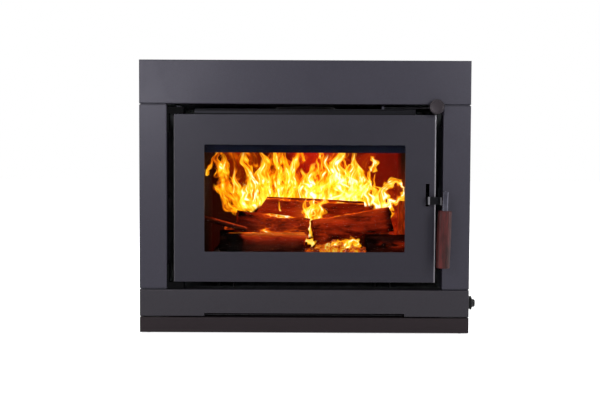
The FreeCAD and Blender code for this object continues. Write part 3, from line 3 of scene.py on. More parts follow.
import bpy
import numpy as np
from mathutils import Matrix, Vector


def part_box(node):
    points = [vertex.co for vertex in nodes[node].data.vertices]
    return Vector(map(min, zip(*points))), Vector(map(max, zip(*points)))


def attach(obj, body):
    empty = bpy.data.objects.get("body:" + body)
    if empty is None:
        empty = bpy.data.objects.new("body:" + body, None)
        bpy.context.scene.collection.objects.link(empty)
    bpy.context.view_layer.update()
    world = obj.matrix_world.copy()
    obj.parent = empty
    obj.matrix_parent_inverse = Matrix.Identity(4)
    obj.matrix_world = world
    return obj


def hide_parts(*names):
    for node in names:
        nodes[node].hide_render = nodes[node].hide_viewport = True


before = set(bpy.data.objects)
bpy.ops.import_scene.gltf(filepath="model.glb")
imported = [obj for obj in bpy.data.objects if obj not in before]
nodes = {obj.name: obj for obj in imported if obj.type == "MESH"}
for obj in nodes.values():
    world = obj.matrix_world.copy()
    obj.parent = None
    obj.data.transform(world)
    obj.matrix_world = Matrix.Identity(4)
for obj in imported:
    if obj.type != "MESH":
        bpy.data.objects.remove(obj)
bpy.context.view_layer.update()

# An inbuilt wood heater with its fire burning: charcoal fascia and door, zinc casing, bricked firebox.
# Metres; the room is at -Y, the hearth is Z = 0.

TURN = 2 * math.pi


# Colours


def channel(value):
    """One screen colour value, 0 to 255, as linear light."""
    value /= 255
    return value / 12.92 if value <= 0.04045 else ((value + 0.055) / 1.055) ** 2.4


def colour(red, green, blue):
    """A screen colour as linear light, with full cover."""
    return (channel(red), channel(green), channel(blue), 1.0)


# Meshes from arrays


def ripple(u, v, seed, count=7, reach=(3.0, 9.0)):
    """A smooth uneven field on two parameters: a sum of seeded sine waves, each a sine of a slanted sum of
    both parameters, weaker as it gets finer, scaled to stay between about -1 and 1."""
    rng = np.random.default_rng(seed)
    total = np.zeros(np.broadcast(u, v).shape)
    weight = 0.0
    for wave in range(count):
        share = 1.0 / (1 + 0.6 * wave)
        slope_u, slope_v = rng.uniform(-1, 1, 2) * np.interp(wave, (0, count - 1), reach)
        total = total + share * np.sin(slope_u * u + slope_v * v + rng.uniform(0, TURN))
        weight += share
    return total / weight * 2


def smooth_step(low, high, value):
    """Rises from 0 at low to 1 at high along a cubic with level ends."""
    share = np.clip((value - low) / (high - low), 0, 1)
    return share * share * (3 - 2 * share)


def bump_at(value, middle, width):
    """A bell: 1 at the middle, falling away over the width."""
    return np.exp(-((value - middle) / width) ** 2)


def enclosed(points, triangles):
    """Six times the signed volume inside a closed set of triangles: the sum of each one's triple product."""
    first, second, third = (points[triangles[:, corner]] for corner in range(3))
    return np.einsum("ij,ij->", first, np.cross(second, third))


def new_object(name, data):
    """A mesh, lamp or camera put into the scene."""
    item = bpy.data.objects.new(name, data)
    bpy.context.scene.collection.objects.link(item)
    return item


def add_piece(name, points, quads, triangles, finish, body, uv=None, fields=None, replaces=()):
    """Puts arrays of points and faces into a new object that rides on a body. Faces are turned outwards by
    the sign of the enclosed volume. uv holds one pair and each field one number per point."""
    points = np.asarray(points, dtype=np.float64).reshape(-1, 3)
    quads = np.asarray(quads, dtype=np.int32).reshape(-1, 4)
    triangles = np.asarray(triangles, dtype=np.int32).reshape(-1, 3)
    split = np.concatenate([quads[:, [0, 1, 2]], quads[:, [0, 2, 3]], triangles])
    if enclosed(points, split) < 0:
        quads, triangles = quads[:, ::-1], triangles[:, ::-1]
    corners = np.concatenate([quads.ravel(), triangles.ravel()])
    sizes = np.concatenate([np.full(len(quads), 4), np.full(len(triangles), 3)])
    mesh = bpy.data.meshes.new(name)
    mesh.vertices.add(len(points))
    mesh.vertices.foreach_set("co", points.ravel())
    mesh.loops.add(len(corners))
    mesh.loops.foreach_set("vertex_index", corners)
    mesh.polygons.add(len(sizes))
    mesh.polygons.foreach_set("loop_start", (np.cumsum(sizes) - sizes).astype(np.int32))
    mesh.update(calc_edges=True)
    mesh.shade_smooth()
    if uv is not None:
        layer = mesh.uv_layers.new(name="UVMap")
        layer.data.foreach_set("uv", np.asarray(uv).reshape(-1, 2)[corners].ravel())
    for field, numbers in (fields or {}).items():
        attribute = mesh.attributes.new(field, "FLOAT", "POINT")
        attribute.data.foreach_set("value", np.asarray(numbers, dtype=np.float32).ravel())
    mesh.materials.append(finish)
    piece = new_object(name, mesh)
    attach(piece, body)
    if replaces:
        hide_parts(*replaces)


def ring_faces(rings, around, first=0):
    """Quads of a tube of rings, closed round each ring, counted along the rings."""
    ring = np.arange(rings - 1)[:, None] * around + first
    step = np.arange(around)[None, :]
    ahead = (step + 1) % around
    corners = [ring + step, ring + ahead, ring + around + ahead, ring + around + step]
    return np.stack(corners, axis=-1).reshape(-1, 4)


def fan_faces(rings, around, first=0):
    """Triangles that close both ends of a tube, each fan meeting at a point added after the rings."""
    step = np.arange(around)
    ahead = (step + 1) % around
    last = (rings - 1) * around
    near_pole, far_pole = rings * around, rings * around + 1
    near = np.stack([np.full(around, near_pole), ahead, step], axis=-1)
    far = np.stack([np.full(around, far_pole), last + step, last + ahead], axis=-1)
    return np.concatenate([near, far]) + first


def copies(faces, starts):
    """The same faces for several sets of points, each counted from its own start."""
    return (faces[None] + starts[:, None, None]).reshape(-1, faces.shape[1])


def capped(rings):
    """The rings' points followed by the middle points of the first and last ring."""
    flat = rings.reshape(-1, rings.shape[-1])
    return np.concatenate([flat, rings[:1].mean(axis=1), rings[-1:].mean(axis=1)])


def turned_piece(name, origin, axis, profile, around, finish, body, flute=None, replaces=()):
    """A lathe form: the profile's radius at each length along the axis, carried round a full turn; flute may
    change the radius as a function of the angle and of the length."""
    axis = np.asarray(axis) / np.linalg.norm(axis)
    side = np.cross(axis, (0.0, 1.0, 0.0) if abs(axis[1]) < 0.9 else (0.0, 0.0, 1.0))
    side /= np.linalg.norm(side)
    other = np.cross(axis, side)
    profile = np.asarray(profile)
    angle = np.linspace(0, TURN, around, endpoint=False)[None, :]
    length, radius = profile[:, :1], profile[:, 1:2] * np.ones_like(angle)
    if flute is not None:
        radius = radius * flute(angle, length)
    rings = (np.asarray(origin) + length[..., None] * axis
             + radius[..., None] * (np.cos(angle)[..., None] * side + np.sin(angle)[..., None] * other))
    add_piece(name, capped(rings), ring_faces(len(profile), around), fan_faces(len(profile), around),
              finish, body, replaces=replaces)


def curve(share, start, bend, end):
    """A quadratic curve from start to end that leaves and arrives along the lines to bend."""
    return (1 - share) ** 2 * start + 2 * share * (1 - share) * bend + share ** 2 * end


def rounded_profile(points, radius, steps=6):
    """A profile with each inner corner replaced by a quadratic curve that starts and ends a radius away, or
    half way to the next corner where that is nearer."""
    points = np.asarray(points, dtype=float)
    before, corner, after = points[:-2], points[1:-1], points[2:]

    def towards(neighbour):
        way = neighbour - corner
        length = np.linalg.norm(way, axis=1)[:, None]
        return corner + way / length * np.minimum(radius, 0.5 * length)

    share = np.linspace(0, 1, steps)[None, :, None]
    curves = curve(share, towards(before)[:, None], corner[:, None], towards(after)[:, None])
    return np.concatenate([points[:1], curves.reshape(-1, 2), points[-1:]])


# Shader building


WHITE = (1.0, 1.0, 1.0, 1.0)
BLACK = (0.0, 0.0, 0.0, 1.0)


class Shade:
    """A node tree with short ways to add nodes: numbers go on sockets, outputs are linked."""

    def __init__(self, tree):
        self.tree = tree

    def add(self, kind, sockets=None, **settings):
        """A new node. Its settings come first, because some of them change its sockets."""
        item = self.tree.nodes.new(kind)
        for name, value in settings.items():
            setattr(item, name, value)
        for name, value in (sockets or {}).items():
            if isinstance(value, bpy.types.NodeSocket):
                self.tree.links.new(value, item.inputs[name])
            else:
                item.inputs[name].default_value = value
        return item

    def calc(self, operation, *values, clamp=False):
        """One operation on one or two numbers, or on more of them taken up one after the other."""
        if len(values) > 2:
            values = (self.calc(operation, *values[:-1]), values[-1])
        item = self.add("ShaderNodeMath", dict(enumerate(values)), operation=operation, use_clamp=clamp)
        return item.outputs["Value"]

    def spread(self, value, low, high, to_low=0.0, to_high=1.0, smooth=False):
        """A value taken from one span to another."""
        item = self.add("ShaderNodeMapRange", {
            "Value": value, "From Min": low, "From Max": high, "To Min": to_low, "To Max": to_high},
            interpolation_type="SMOOTHSTEP" if smooth else "LINEAR")
        return item.outputs["Result"]

    def ramp(self, value, stops):
        item = self.add("ShaderNodeValToRGB", {"Fac": value})
        ends = item.color_ramp.elements
        ends[0].position, ends[0].color = stops[0]
        ends[1].position, ends[1].color = stops[-1]
        for position, tone in stops[1:-1]:
            ends.new(position).color = tone
        return item.outputs["Color"]

    def blend(self, share, first, second, mode="MIX"):
        """Two colours mixed. The node has sockets for numbers and vectors before those for colours."""
        item = self.add("ShaderNodeMix", {0: share, 6: first, 7: second}, data_type="RGBA", blend_type=mode)
        return item.outputs[2]

    def place(self, scale=(1, 1, 1), kind="Object"):
        """The piece's own coordinates, scaled."""
        source = self.add("ShaderNodeTexCoord").outputs[kind]
        return self.add("ShaderNodeMapping", {"Vector": source, "Scale": scale}).outputs["Vector"]

    def parts(self, vector):
        """A vector's X, Y and Z."""
        return self.add("ShaderNodeSeparateXYZ", {"Vector": vector}).outputs.values()

    def noise(self, vector, scale, detail=4.0, rough=0.55, twist=0.0):
        item = self.add("ShaderNodeTexNoise", {
            "Vector": vector, "Scale": scale, "Detail": detail, "Roughness": rough, "Distortion": twist})
        return item.outputs["Fac"]

    def cracks(self, vector, scale):
        """The distance to the nearest line of a net of cracks."""
        item = self.add("ShaderNodeTexVoronoi", {"Vector": vector, "Scale": scale},
                        feature="DISTANCE_TO_EDGE")
        return item.outputs["Distance"]

    def field(self, name):
        return self.add("ShaderNodeAttribute", attribute_name=name).outputs["Fac"]

    def use(self, group, **sockets):
        return self.add("ShaderNodeGroup", sockets, node_tree=group).outputs

    def bump(self, height, depth, strength=1.0):
        item = self.add("ShaderNodeBump", {"Height": height, "Distance": depth, "Strength": strength})
        return item.outputs["Normal"]


def new_finish(name, linked, **fixed):
    """A material with one Principled shader: linked gets the tree and gives the sockets that vary over the
    surface; fixed are plain numbers and colours on the shader's own sockets."""
    finish = bpy.data.materials.new(name)
    finish.use_nodes = True
    tree = finish.node_tree
    shader = tree.nodes["Principled BSDF"]
    for socket, value in fixed.items():
        shader.inputs[socket.replace("_", " ")].default_value = value
    for socket, value in linked(Shade(tree)).items():
        tree.links.new(value, shader.inputs[socket.replace("_", " ")])
    return finish


# Groups' sockets are numbers unless their name is here.
SOCKET_KINDS = {"Vector": "NodeSocketVector"} | dict.fromkeys(
    ("First", "Second", "Dark", "Light", "Colour"), "NodeSocketColor")


def new_group(name, inputs, outputs, build):
    """A shader node group with named sockets; build gets the tree and the input sockets and gives the
    outputs."""
    tree = bpy.data.node_groups.new(name, "ShaderNodeTree")
    for way, labels in (("INPUT", inputs), ("OUTPUT", outputs)):
        for label in labels:
            kind = SOCKET_KINDS.get(label, "NodeSocketFloat")
            tree.interface.new_socket(name=label, in_out=way, socket_type=kind)
    entry = tree.nodes.new("NodeGroupInput")
    end = tree.nodes.new("NodeGroupOutput")
    for label, value in build(Shade(tree), entry.outputs).items():
        tree.links.new(value, end.inputs[label])
    return tree


def build_speckle(shade, given):
    """Fine noise brought to a span of values, with its own height for a bump."""
    fine = shade.noise(given["Vector"], given["Scale"], detail=5.0)
    return {"Value": shade.spread(fine, 0.3, 0.7, given["Low"], given["High"]), "Height": fine}


def build_smudge(shade, given):
    """Two colours blended by soft cloudy patches."""
    cloud = shade.noise(given["Vector"], given["Scale"], detail=3.0, rough=0.6)
    mask = shade.spread(cloud, 0.35, 0.68, smooth=True)
    return {"Colour": shade.blend(mask, given["First"], given["Second"])}


def build_fibre(shade, given):
    """Wood fibre: noise on coordinates squeezed along the grain, in light and dark streaks of two sizes."""
    broad = shade.noise(given["Vector"], given["Scale"], detail=4.0, twist=0.6)
    fine = shade.noise(given["Vector"], shade.calc("MULTIPLY", given["Scale"], 5.0), detail=3.0)
    height = shade.calc("ADD", shade.calc("MULTIPLY", broad, 0.6), shade.calc("MULTIPLY", fine, 0.4))
    mask = shade.spread(height, 0.36, 0.64)
    return {"Colour": shade.blend(mask, given["Dark"], given["Light"]), "Height": height}


HEAT_STOPS = [
    (0.0, BLACK), (0.2, (0.03, 0.0025, 0.0004, 1)), (0.38, (0.2, 0.014, 0.001, 1)),
    (0.56, (0.86, 0.11, 0.002, 1)), (0.7, (1.0, 0.36, 0.006, 1)), (0.85, (1.0, 0.68, 0.05, 1)),
    (0.94, (1.0, 0.88, 0.3, 1)), (1.0, (1.0, 0.97, 0.72, 1))]


def build_heat(shade, given):
    """The glow of hot carbon: black, dull red, orange, yellow, near white as the heat goes from 0 to 1."""
    return {"Colour": shade.ramp(given["Heat"], HEAT_STOPS)}


speckle = new_group("speckle", ("Vector", "Scale", "Low", "High"), ("Value", "Height"), build_speckle)
smudge = new_group("smudge", ("Vector", "Scale", "First", "Second"), ("Colour",), build_smudge)
fibre = new_group("fibre", ("Vector", "Scale", "Dark", "Light"), ("Colour", "Height"), build_fibre)
heat_glow = new_group("heat_glow", ("Heat",), ("Colour",), build_heat)


def grain(shade, vector, scale, low=0.0, high=1.0):
    """Fine noise: Value, which lies between low and high, and Height, for a bump."""
    return shade.use(speckle, Vector=vector, Scale=scale, Low=low, High=high)


def patches(shade, vector, scale, first, second):
    """Two colours in soft cloudy patches."""
    return shade.use(smudge, Vector=vector, Scale=scale, First=first, Second=second)["Colour"]


# Finishes


# Bright steel colour of the painted highlights on the door's edges and the strap's bends.
HIGHLIGHT_STEEL = colour(128, 126, 131)
STEEL_METALLIC = 0.9

# Noise scales of a finish's colour patches, sheen and relief, and the relief's depth in metres and strength.
# Steel's relief is stretched along Z.
PAINT = {"patch": 900.0, "sheen": 9.0, "relief": 420.0, "depth": 0.00006, "strength": 0.5}
STEEL = {"patch": 30.0, "sheen": 40.0, "relief": 700.0, "depth": 0.00003, "strength": 0.5,
         "stretch": (1, 1, 0.08)}
SCALED = {"patch": 14.0, "sheen": 260.0, "relief": 260.0, "depth": 0.00012, "strength": 0.6}
PLASTIC = {"patch": 60.0, "sheen": 1100.0, "relief": 1100.0, "depth": 0.00008, "strength": 0.5}


def surface(name, kind, dark, light, low, high, highlight_mask=None, **fixed):
    """A finish of one kind: cloudy patches of two screen colours, sheen that varies between two roughnesses
    and a fine relief. The mask after the roughnesses may add a painted highlight: bright bare-steel colour
    standing in for light caught on an edge or a bend."""

    def linked(shade):
        here = shade.place()
        skin = patches(shade, here, kind["patch"], colour(*dark), colour(*light))
        relief = grain(shade, shade.place(kind.get("stretch", (1, 1, 1))), kind["relief"])["Height"]
        sockets = {"Base_Color": skin, "Roughness": grain(shade, here, kind["sheen"], low, high)["Value"],
                   "Normal": shade.bump(relief, kind["depth"], kind["strength"])}
        if highlight_mask is not None:
            # Painted highlight: bright steel colour and metal where the mask is.
            bare = highlight_mask(shade, here)
            sockets["Base_Color"] = shade.blend(bare, skin, HIGHLIGHT_STEEL)
            sockets["Metallic"] = shade.spread(bare, 0.0, 1.0, fixed["Metallic"], STEEL_METALLIC)
        return sockets

    return new_finish(name, linked, **fixed)


def painted_edge_highlights(shade, here):
    """Painted highlight on the front of the door's rounded side edges, most on the handle's side: bright
    steel colour standing in for the side lamps' light caught there.
    """
    low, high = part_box("door_panel")
    x, y, _ = shade.parts(here)
    handle_side = shade.spread(x, high.x - 0.0050, high.x - 0.0020, smooth=True)
    hinge_side = shade.spread(x, low.x + 0.0040, low.x + 0.0010, 0.0, 0.4, smooth=True)
    front = shade.spread(y, low.y + 0.0060, low.y + 0.0040, smooth=True)
    patchy = shade.spread(shade.noise(here, 45.0), 0.3, 0.6, 0.65, 1.0)
    return shade.calc("MULTIPLY", shade.calc("MAXIMUM", handle_side, hinge_side), front, patchy)


def painted_bend_highlights(shade, here):
    """Painted highlights: bands of bright steel colour across the strap, one where it is folded over the
    lever and a narrow one at its other bend, standing in for light caught on the bends.
    """
    low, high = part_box("handle_strap")
    across, _, _ = shade.parts(here)

    def band(middle, reach, most):
        off = shade.calc("ABSOLUTE", shade.calc("SUBTRACT", across, middle))
        return shade.spread(off, reach, 0.3 * reach, 0.0, most, smooth=True)

    return shade.calc("MAXIMUM", band(low.x + 0.0042, 0.0030, 0.75), band(high.x - 0.0046, 0.0016, 0.5))


# Baked satin paints
charcoal = surface("charcoal_paint", PAINT, (36, 34, 44), (44, 42, 53), 0.33, 0.41,
                   Metallic=0.3, Specular_IOR_Level=0.3)
# Painted shade: a darker copy of the charcoal paint on the lower panel, standing in for the dark floor it
# reflects.
lower_charcoal_painted_shade = surface("lower_charcoal_painted_shade", PAINT, (34, 31, 37), (41, 38, 44), 0.35, 0.43,
                         Metallic=0.3, Specular_IOR_Level=0.26)
# Painted shade and highlight: a darker copy of the charcoal paint on the door, where less of the lamps' light
# falls, with painted highlights on its side edges.
door_charcoal_painted_light = surface("door_charcoal_painted_light", PAINT, (27, 25, 34), (34, 32, 42), 0.35, 0.43, painted_edge_highlights,
                        Metallic=0.25, Specular_IOR_Level=0.25)
# Painted shade and reflection: a darker, brownish copy of the charcoal paint on the plinth, standing in for
# the brown floor it reflects.
plinth_painted_shade = surface("charcoal_painted_shade_and_reflection", PAINT, (26, 19, 22), (32, 24, 28), 0.4, 0.5,
                          Metallic=0.15, Specular_IOR_Level=0.16)
knob_paint = surface("knob_charcoal", PAINT, (32, 27, 31), (41, 35, 40), 0.28, 0.38,
                     Metallic=0.55, Specular_IOR_Level=0.3)
motor_paint = surface("motor_enamel", PAINT, (34, 36, 38), (44, 46, 49), 0.42, 0.55,
                      Metallic=0.1, Specular_IOR_Level=0.4)
# Painted shade: near black, so that the hinge lugs and the fascia screws read as the shade round them.
shadow_black = surface("shadow_black", PAINT, (5, 5, 6), (9, 9, 10), 0.6, 0.75, Specular_IOR_Level=0.03)
blued_black = surface("blued_black", PAINT, (15, 20, 37), (20, 25, 43), 0.5, 0.65, Specular_IOR_Level=0.2)

# Turned or drawn steel, with faint draw lines
plated_steel = surface("plated_fastener", STEEL, (158, 160, 158), (190, 190, 184), 0.24, 0.38,
                       Metallic=STEEL_METALLIC)
dark_steel = surface("blackened_steel", STEEL, (20, 20, 24), (30, 30, 34), 0.2, 0.28, Metallic=STEEL_METALLIC)
# Painted highlights on the strap's bends.
strap_steel = surface("strap_painted_highlights", STEEL, (14, 14, 17), (22, 22, 25), 0.2, 0.28, painted_bend_highlights,
                      Metallic=STEEL_METALLIC)
plain_steel = surface("drawn_steel", STEEL, (54, 53, 62), (72, 71, 80), 0.15, 0.23, Metallic=STEEL_METALLIC)
rod_steel = surface("oiled_rod", STEEL, (44, 44, 48), (62, 62, 66), 0.3, 0.42, Metallic=STEEL_METALLIC)
fan_sheet = surface("blower_sheet", STEEL, (150, 153, 156), (178, 180, 182), 0.3, 0.45,
                    Metallic=STEEL_METALLIC)

# Heat-proof black, matte and scaly with patches of ash, and moulded plastic with a fine spark texture
firebox_black = surface("firebox_black", SCALED, (20, 20, 22), (36, 34, 33), 0.55, 0.85,
                        Metallic=0.1, Specular_IOR_Level=0.35)
black_plastic = surface("moulded_black", PLASTIC, (11, 11, 12), (19, 19, 20), 0.38, 0.55,
                        Specular_IOR_Level=0.15)


def air_box_linked(shade):
    """Charcoal paint with painted shade, darker and duller along both edges, where the door's top and the
    fascia above shade it, and towards the knob's end.
    """
    here = shade.place()
    x, _, z = shade.parts(here)
    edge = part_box("door_panel")[1].z + 0.002
    flake = patches(shade, here, PAINT["patch"], colour(40, 39, 48), colour(48, 47, 56))
    peel = grain(shade, here, PAINT["relief"], 0.36, 0.46)
    low_edge = shade.spread(z, edge, edge + 0.0045, 1.0, 0.0, smooth=True)
    high_edge = shade.spread(z, edge + 0.0055, edge + 0.0095, 0.0, 0.75, smooth=True)
    far_end = shade.spread(x, -0.21, 0.06, 0.0, 0.72, smooth=True)
    # Painted shade along both edges and towards the knob's end.
    soot_and_shade = shade.calc("MAXIMUM", low_edge, high_edge, far_end)
    return {"Base_Color": shade.blend(soot_and_shade, flake, colour(7, 7, 9)),
            "Roughness": shade.calc("ADD", peel["Value"], shade.calc("MULTIPLY", soot_and_shade, 0.3)),
            "Normal": shade.bump(peel["Height"], PAINT["depth"], PAINT["strength"])}


charcoal_with_painted_shade = new_finish("charcoal_with_painted_shade", air_box_linked, Specular_IOR_Level=0.12)


def zinc_linked(shade):
    """Zinc-coated sheet: angular crystals of slightly different grey, each with its own sheen, and dust."""
    here = shade.place()
    cells = shade.add("ShaderNodeTexVoronoi", {"Vector": here, "Scale": 85.0, "Randomness": 1.0})
    tone = shade.add("ShaderNodeSeparateColor", {"Color": cells.outputs["Color"]}).outputs["Red"]
    crystal = shade.blend(tone, colour(136, 141, 144), colour(166, 170, 172))
    dust = patches(shade, here, 6.0, WHITE, colour(232, 231, 228))
    return {"Base_Color": shade.blend(1.0, crystal, dust, "MULTIPLY"),
            "Roughness": shade.spread(tone, 0.0, 1.0, 0.46, 0.6),
            "Normal": shade.bump(tone, 0.00004, 0.4)}


zinc = new_finish("zinc_sheet", zinc_linked, Metallic=0.7)

BRICK_FIRELIGHT = [(0.0, BLACK), (0.35, (0.08, 0.002, 0.0004, 1)), (1.0, (0.56, 0.009, 0.003, 1))]
FLANK_FIRELIGHT = [(0.0, BLACK), (0.5, (0.08, 0.003, 0.0003, 1)), (1.0, (0.34, 0.03, 0.0015, 1))]


def brick_linked(shade):
    """Fire brick: pitted, sandy brown at the front and sooted further in, with painted firelight, a dull red
    glow on the back wall, most in the middle and at the right, and on the lower part of the right wall."""
    here = shade.place()
    x, y, z = shade.parts(here)
    sand = patches(shade, here, 160.0, colour(88, 62, 46), colour(116, 86, 64))
    soot_and_shade = patches(shade, here, 9.0, colour(11, 6, 5), colour(32, 17, 13))
    pits = grain(shade, here, 330.0, 0.8, 0.98)
    further_in = shade.spread(y, -0.02, 0.03, smooth=True)
    back = shade.spread(y, 0.2, 0.36, smooth=True)
    right = shade.spread(x, -0.19, 0.03, 0.15, 1.0, smooth=True)
    off_middle = shade.calc("ABSOLUTE", shade.spread(x, -0.16, 0.2, -1.0, 1.0))
    cloud = shade.calc("ADD", shade.spread(shade.noise(here, 7.0, detail=3.0), 0.3, 0.7, 0.26, 0.48),
                       shade.spread(off_middle, 0.0, 0.7, 0.55, 0.0, smooth=True))
    back_firelight = shade.calc("MULTIPLY", back, right, cloud)
    mottle = shade.spread(shade.noise(here, 30.0, detail=6.0, rough=0.65), 0.36, 0.64, 0.25, 1.1)
    flank_firelight = shade.calc("MULTIPLY", shade.spread(x, 0.12, 0.24, smooth=True),
                            shade.spread(z, 0.44, 0.33, smooth=True), mottle,
                            shade.spread(y, -0.04, 0.07, 0.3, 1.0, smooth=True))
    # Painted firelight: a dull red emission on the bricks where the flames light them.
    glow = shade.blend(1.0, shade.ramp(back_firelight, BRICK_FIRELIGHT), shade.ramp(flank_firelight, FLANK_FIRELIGHT), "ADD")
    return {"Base_Color": shade.blend(further_in, sand, soot_and_shade), "Roughness": pits["Value"],
            "Normal": shade.bump(pits["Height"], 0.0006, 0.7), "Emission_Color": glow}


fire_brick = new_finish("sooted_brick", brick_linked, Emission_Strength=1.0, Specular_IOR_Level=0.2)


def glass_linked(shade):
    """Ceramic glass: nearly clean, with a faint haze of ash that scatters a little."""
    return {"Roughness": grain(shade, shade.place(), 12.0, 0.0, 0.012)["Value"]}


window_glass = new_finish("clear_glass", glass_linked, Base_Color=(0.97, 0.97, 0.97, 1), IOR=1.04,
                          Transmission_Weight=1.0)


def gasket_linked(shade):
    """Woven glass tape: fine crossing threads, dusty grey white."""
    threads = shade.add("ShaderNodeTexChecker", {"Vector": shade.place((1400, 1400, 1400)), "Scale": 1.0})
    return {"Base_Color": patches(shade, shade.place(), 40.0, colour(160, 156, 148), colour(118, 112, 104)),
            "Normal": shade.bump(threads.outputs["Fac"], 0.0003, 0.6)}


gasket_tape = new_finish("gasket_tape", gasket_linked, Roughness=0.9)


def rope_linked(shade):
    """Knitted glass rope: painted shade between the strands, by the mesh's lift field, and sooted in patches.
    """
    here = shade.place()
    soot_and_shade = patches(shade, here, 24.0, colour(52, 50, 49), colour(112, 108, 102))
    shadow = shade.ramp(shade.field("lift"), [(0.0, colour(60, 58, 56)), (1.0, WHITE)])
    yarn = grain(shade, here, 900.0, 0.8, 1.0)
    return {"Base_Color": shade.blend(1.0, soot_and_shade, shadow, "MULTIPLY"), "Roughness": yarn["Value"],
            "Normal": shade.bump(yarn["Height"], 0.0003, 0.5)}


seal_rope = new_finish("knitted_glass", rope_linked, Specular_IOR_Level=0.1)


def grip_linked(shade):
    """Oiled red hardwood: long streaks along the grip, dark pores and an uneven polish."""
    streaks = shade.use(fibre, Vector=shade.place((1, 1, 0.07)), Scale=110.0, Dark=colour(30, 9, 9),
                        Light=colour(84, 27, 27))
    pores = grain(shade, shade.place((1, 1, 0.05)), 900.0)["Value"]
    darkened = shade.blend(shade.spread(pores, 0.0, 0.25, 0.45, 0.0), streaks["Colour"], colour(24, 7, 6))
    figure = patches(shade, shade.place((1, 1, 0.6)), 34.0, WHITE, colour(192, 146, 148))
    return {"Base_Color": shade.blend(1.0, darkened, figure, "MULTIPLY"),
            "Roughness": grain(shade, shade.place(), 30.0, 0.4, 0.55)["Value"],
            "Normal": shade.bump(streaks["Height"], 0.0002, 0.5)}


grip_wood = new_finish("oiled_hardwood", grip_linked, Coat_Weight=0.12, Coat_Roughness=0.2,
                       Specular_IOR_Level=0.12)

FIRELIGHT = [
    (0.0, BLACK), (0.2, (0.012, 0.0004, 0.0001, 1)), (0.4, (0.1, 0.003, 0.0003, 1)),
    (0.6, (0.34, 0.014, 0.001, 1)), (0.8, (0.56, 0.07, 0.005, 1)), (1.0, (0.95, 0.32, 0.03, 1))]


def log_linked(shade):
    """Burning wood: bark or split fibre by the mesh's bark field, char over it, a warm shine where the fire
    lights it, and glow from the heat field broken up by fine cracks."""
    split = shade.use(fibre, Vector=shade.place((0.1, 1, 1)), Scale=85.0, Dark=colour(34, 11, 6),
                      Light=colour(70, 26, 12))
    bark = shade.use(fibre, Vector=shade.place((0.3, 1, 1)), Scale=60.0, Dark=colour(18, 7, 5),
                     Light=colour(64, 28, 16))
    covered = shade.field("bark")
    wood = shade.blend(covered, split["Colour"], bark["Colour"])
    scorch = shade.noise(shade.place((0.4, 1, 1)), 38.0, detail=5.0, rough=0.65)
    char = shade.calc("ADD", shade.field("char"), shade.spread(scorch, 0.38, 0.6, -0.45, 0.5), clamp=True)
    relief = shade.blend(covered, split["Height"], bark["Height"])
    streaks = shade.calc("SUBTRACT", shade.spread(relief, 0.32, 0.68, 0.4, 1.25),
                         shade.calc("MULTIPLY", char, 0.7))
    shine = shade.blend(1.0, shade.ramp(shade.field("lit"), FIRELIGHT),
                        shade.calc("MAXIMUM", streaks, 0.0), "MULTIPLY")
    crack = shade.cracks(shade.place((0.45, 1, 1)), 110.0)
    cloud = shade.noise(shade.place(), 34.0, detail=5.0, rough=0.65)
    heat = shade.calc("MULTIPLY", shade.field("glow"), 1.25, shade.spread(crack, 0.0, 0.16, 1.0, 0.6),
                      shade.spread(cloud, 0.34, 0.66, 0.62, 1.15))
    height = shade.calc("ADD", bark["Height"], shade.calc("MULTIPLY", shade.spread(crack, 0.0, 0.1), 0.4))
    return {"Base_Color": shade.blend(char, wood, colour(7, 4, 4)),
            "Emission_Color": shade.blend(1.0, shine, shade.use(heat_glow, Heat=heat)["Colour"], "ADD"),
            "Roughness": shade.spread(bark["Height"], 0.3, 0.7, 0.62, 0.9),
            "Normal": shade.bump(height, 0.0016, 0.8)}


log_wood = new_finish("burning_wood", log_linked, Emission_Strength=1.0, Specular_IOR_Level=0.0)


def ember_linked(shade):
    """Coals: black char under grey ash, with heat from the mesh showing through in cracks and patches."""
    here = shade.place()
    hot_patch = shade.spread(shade.noise(here, 48.0, detail=4.0), 0.3, 0.72, 0.5, 1.15)
    crack = shade.spread(shade.cracks(here, 130.0), 0.0, 0.2, 1.1, 0.8)
    heat = shade.calc("MULTIPLY", shade.field("glow"), hot_patch, crack)
    return {"Base_Color": patches(shade, here, 60.0, colour(14, 11, 10), colour(60, 53, 48)),
            "Emission_Color": shade.use(heat_glow, Heat=heat)["Colour"],
            "Normal": shade.bump(shade.noise(here, 120.0, detail=5.0), 0.002, 0.8)}


ember = new_finish("hot_coals", ember_linked, Emission_Strength=0.75, Roughness=0.9, Specular_IOR_Level=0.03)

BURNING_GAS = [
    (0.25, (0.6, 0.03, 0.0, 1)), (0.45, (1.0, 0.15, 0.001, 1)), (0.66, (1.0, 0.4, 0.004, 1)),
    (0.8, (0.98, 0.58, 0.04, 1)), (0.92, (1.0, 0.86, 0.62, 1))]


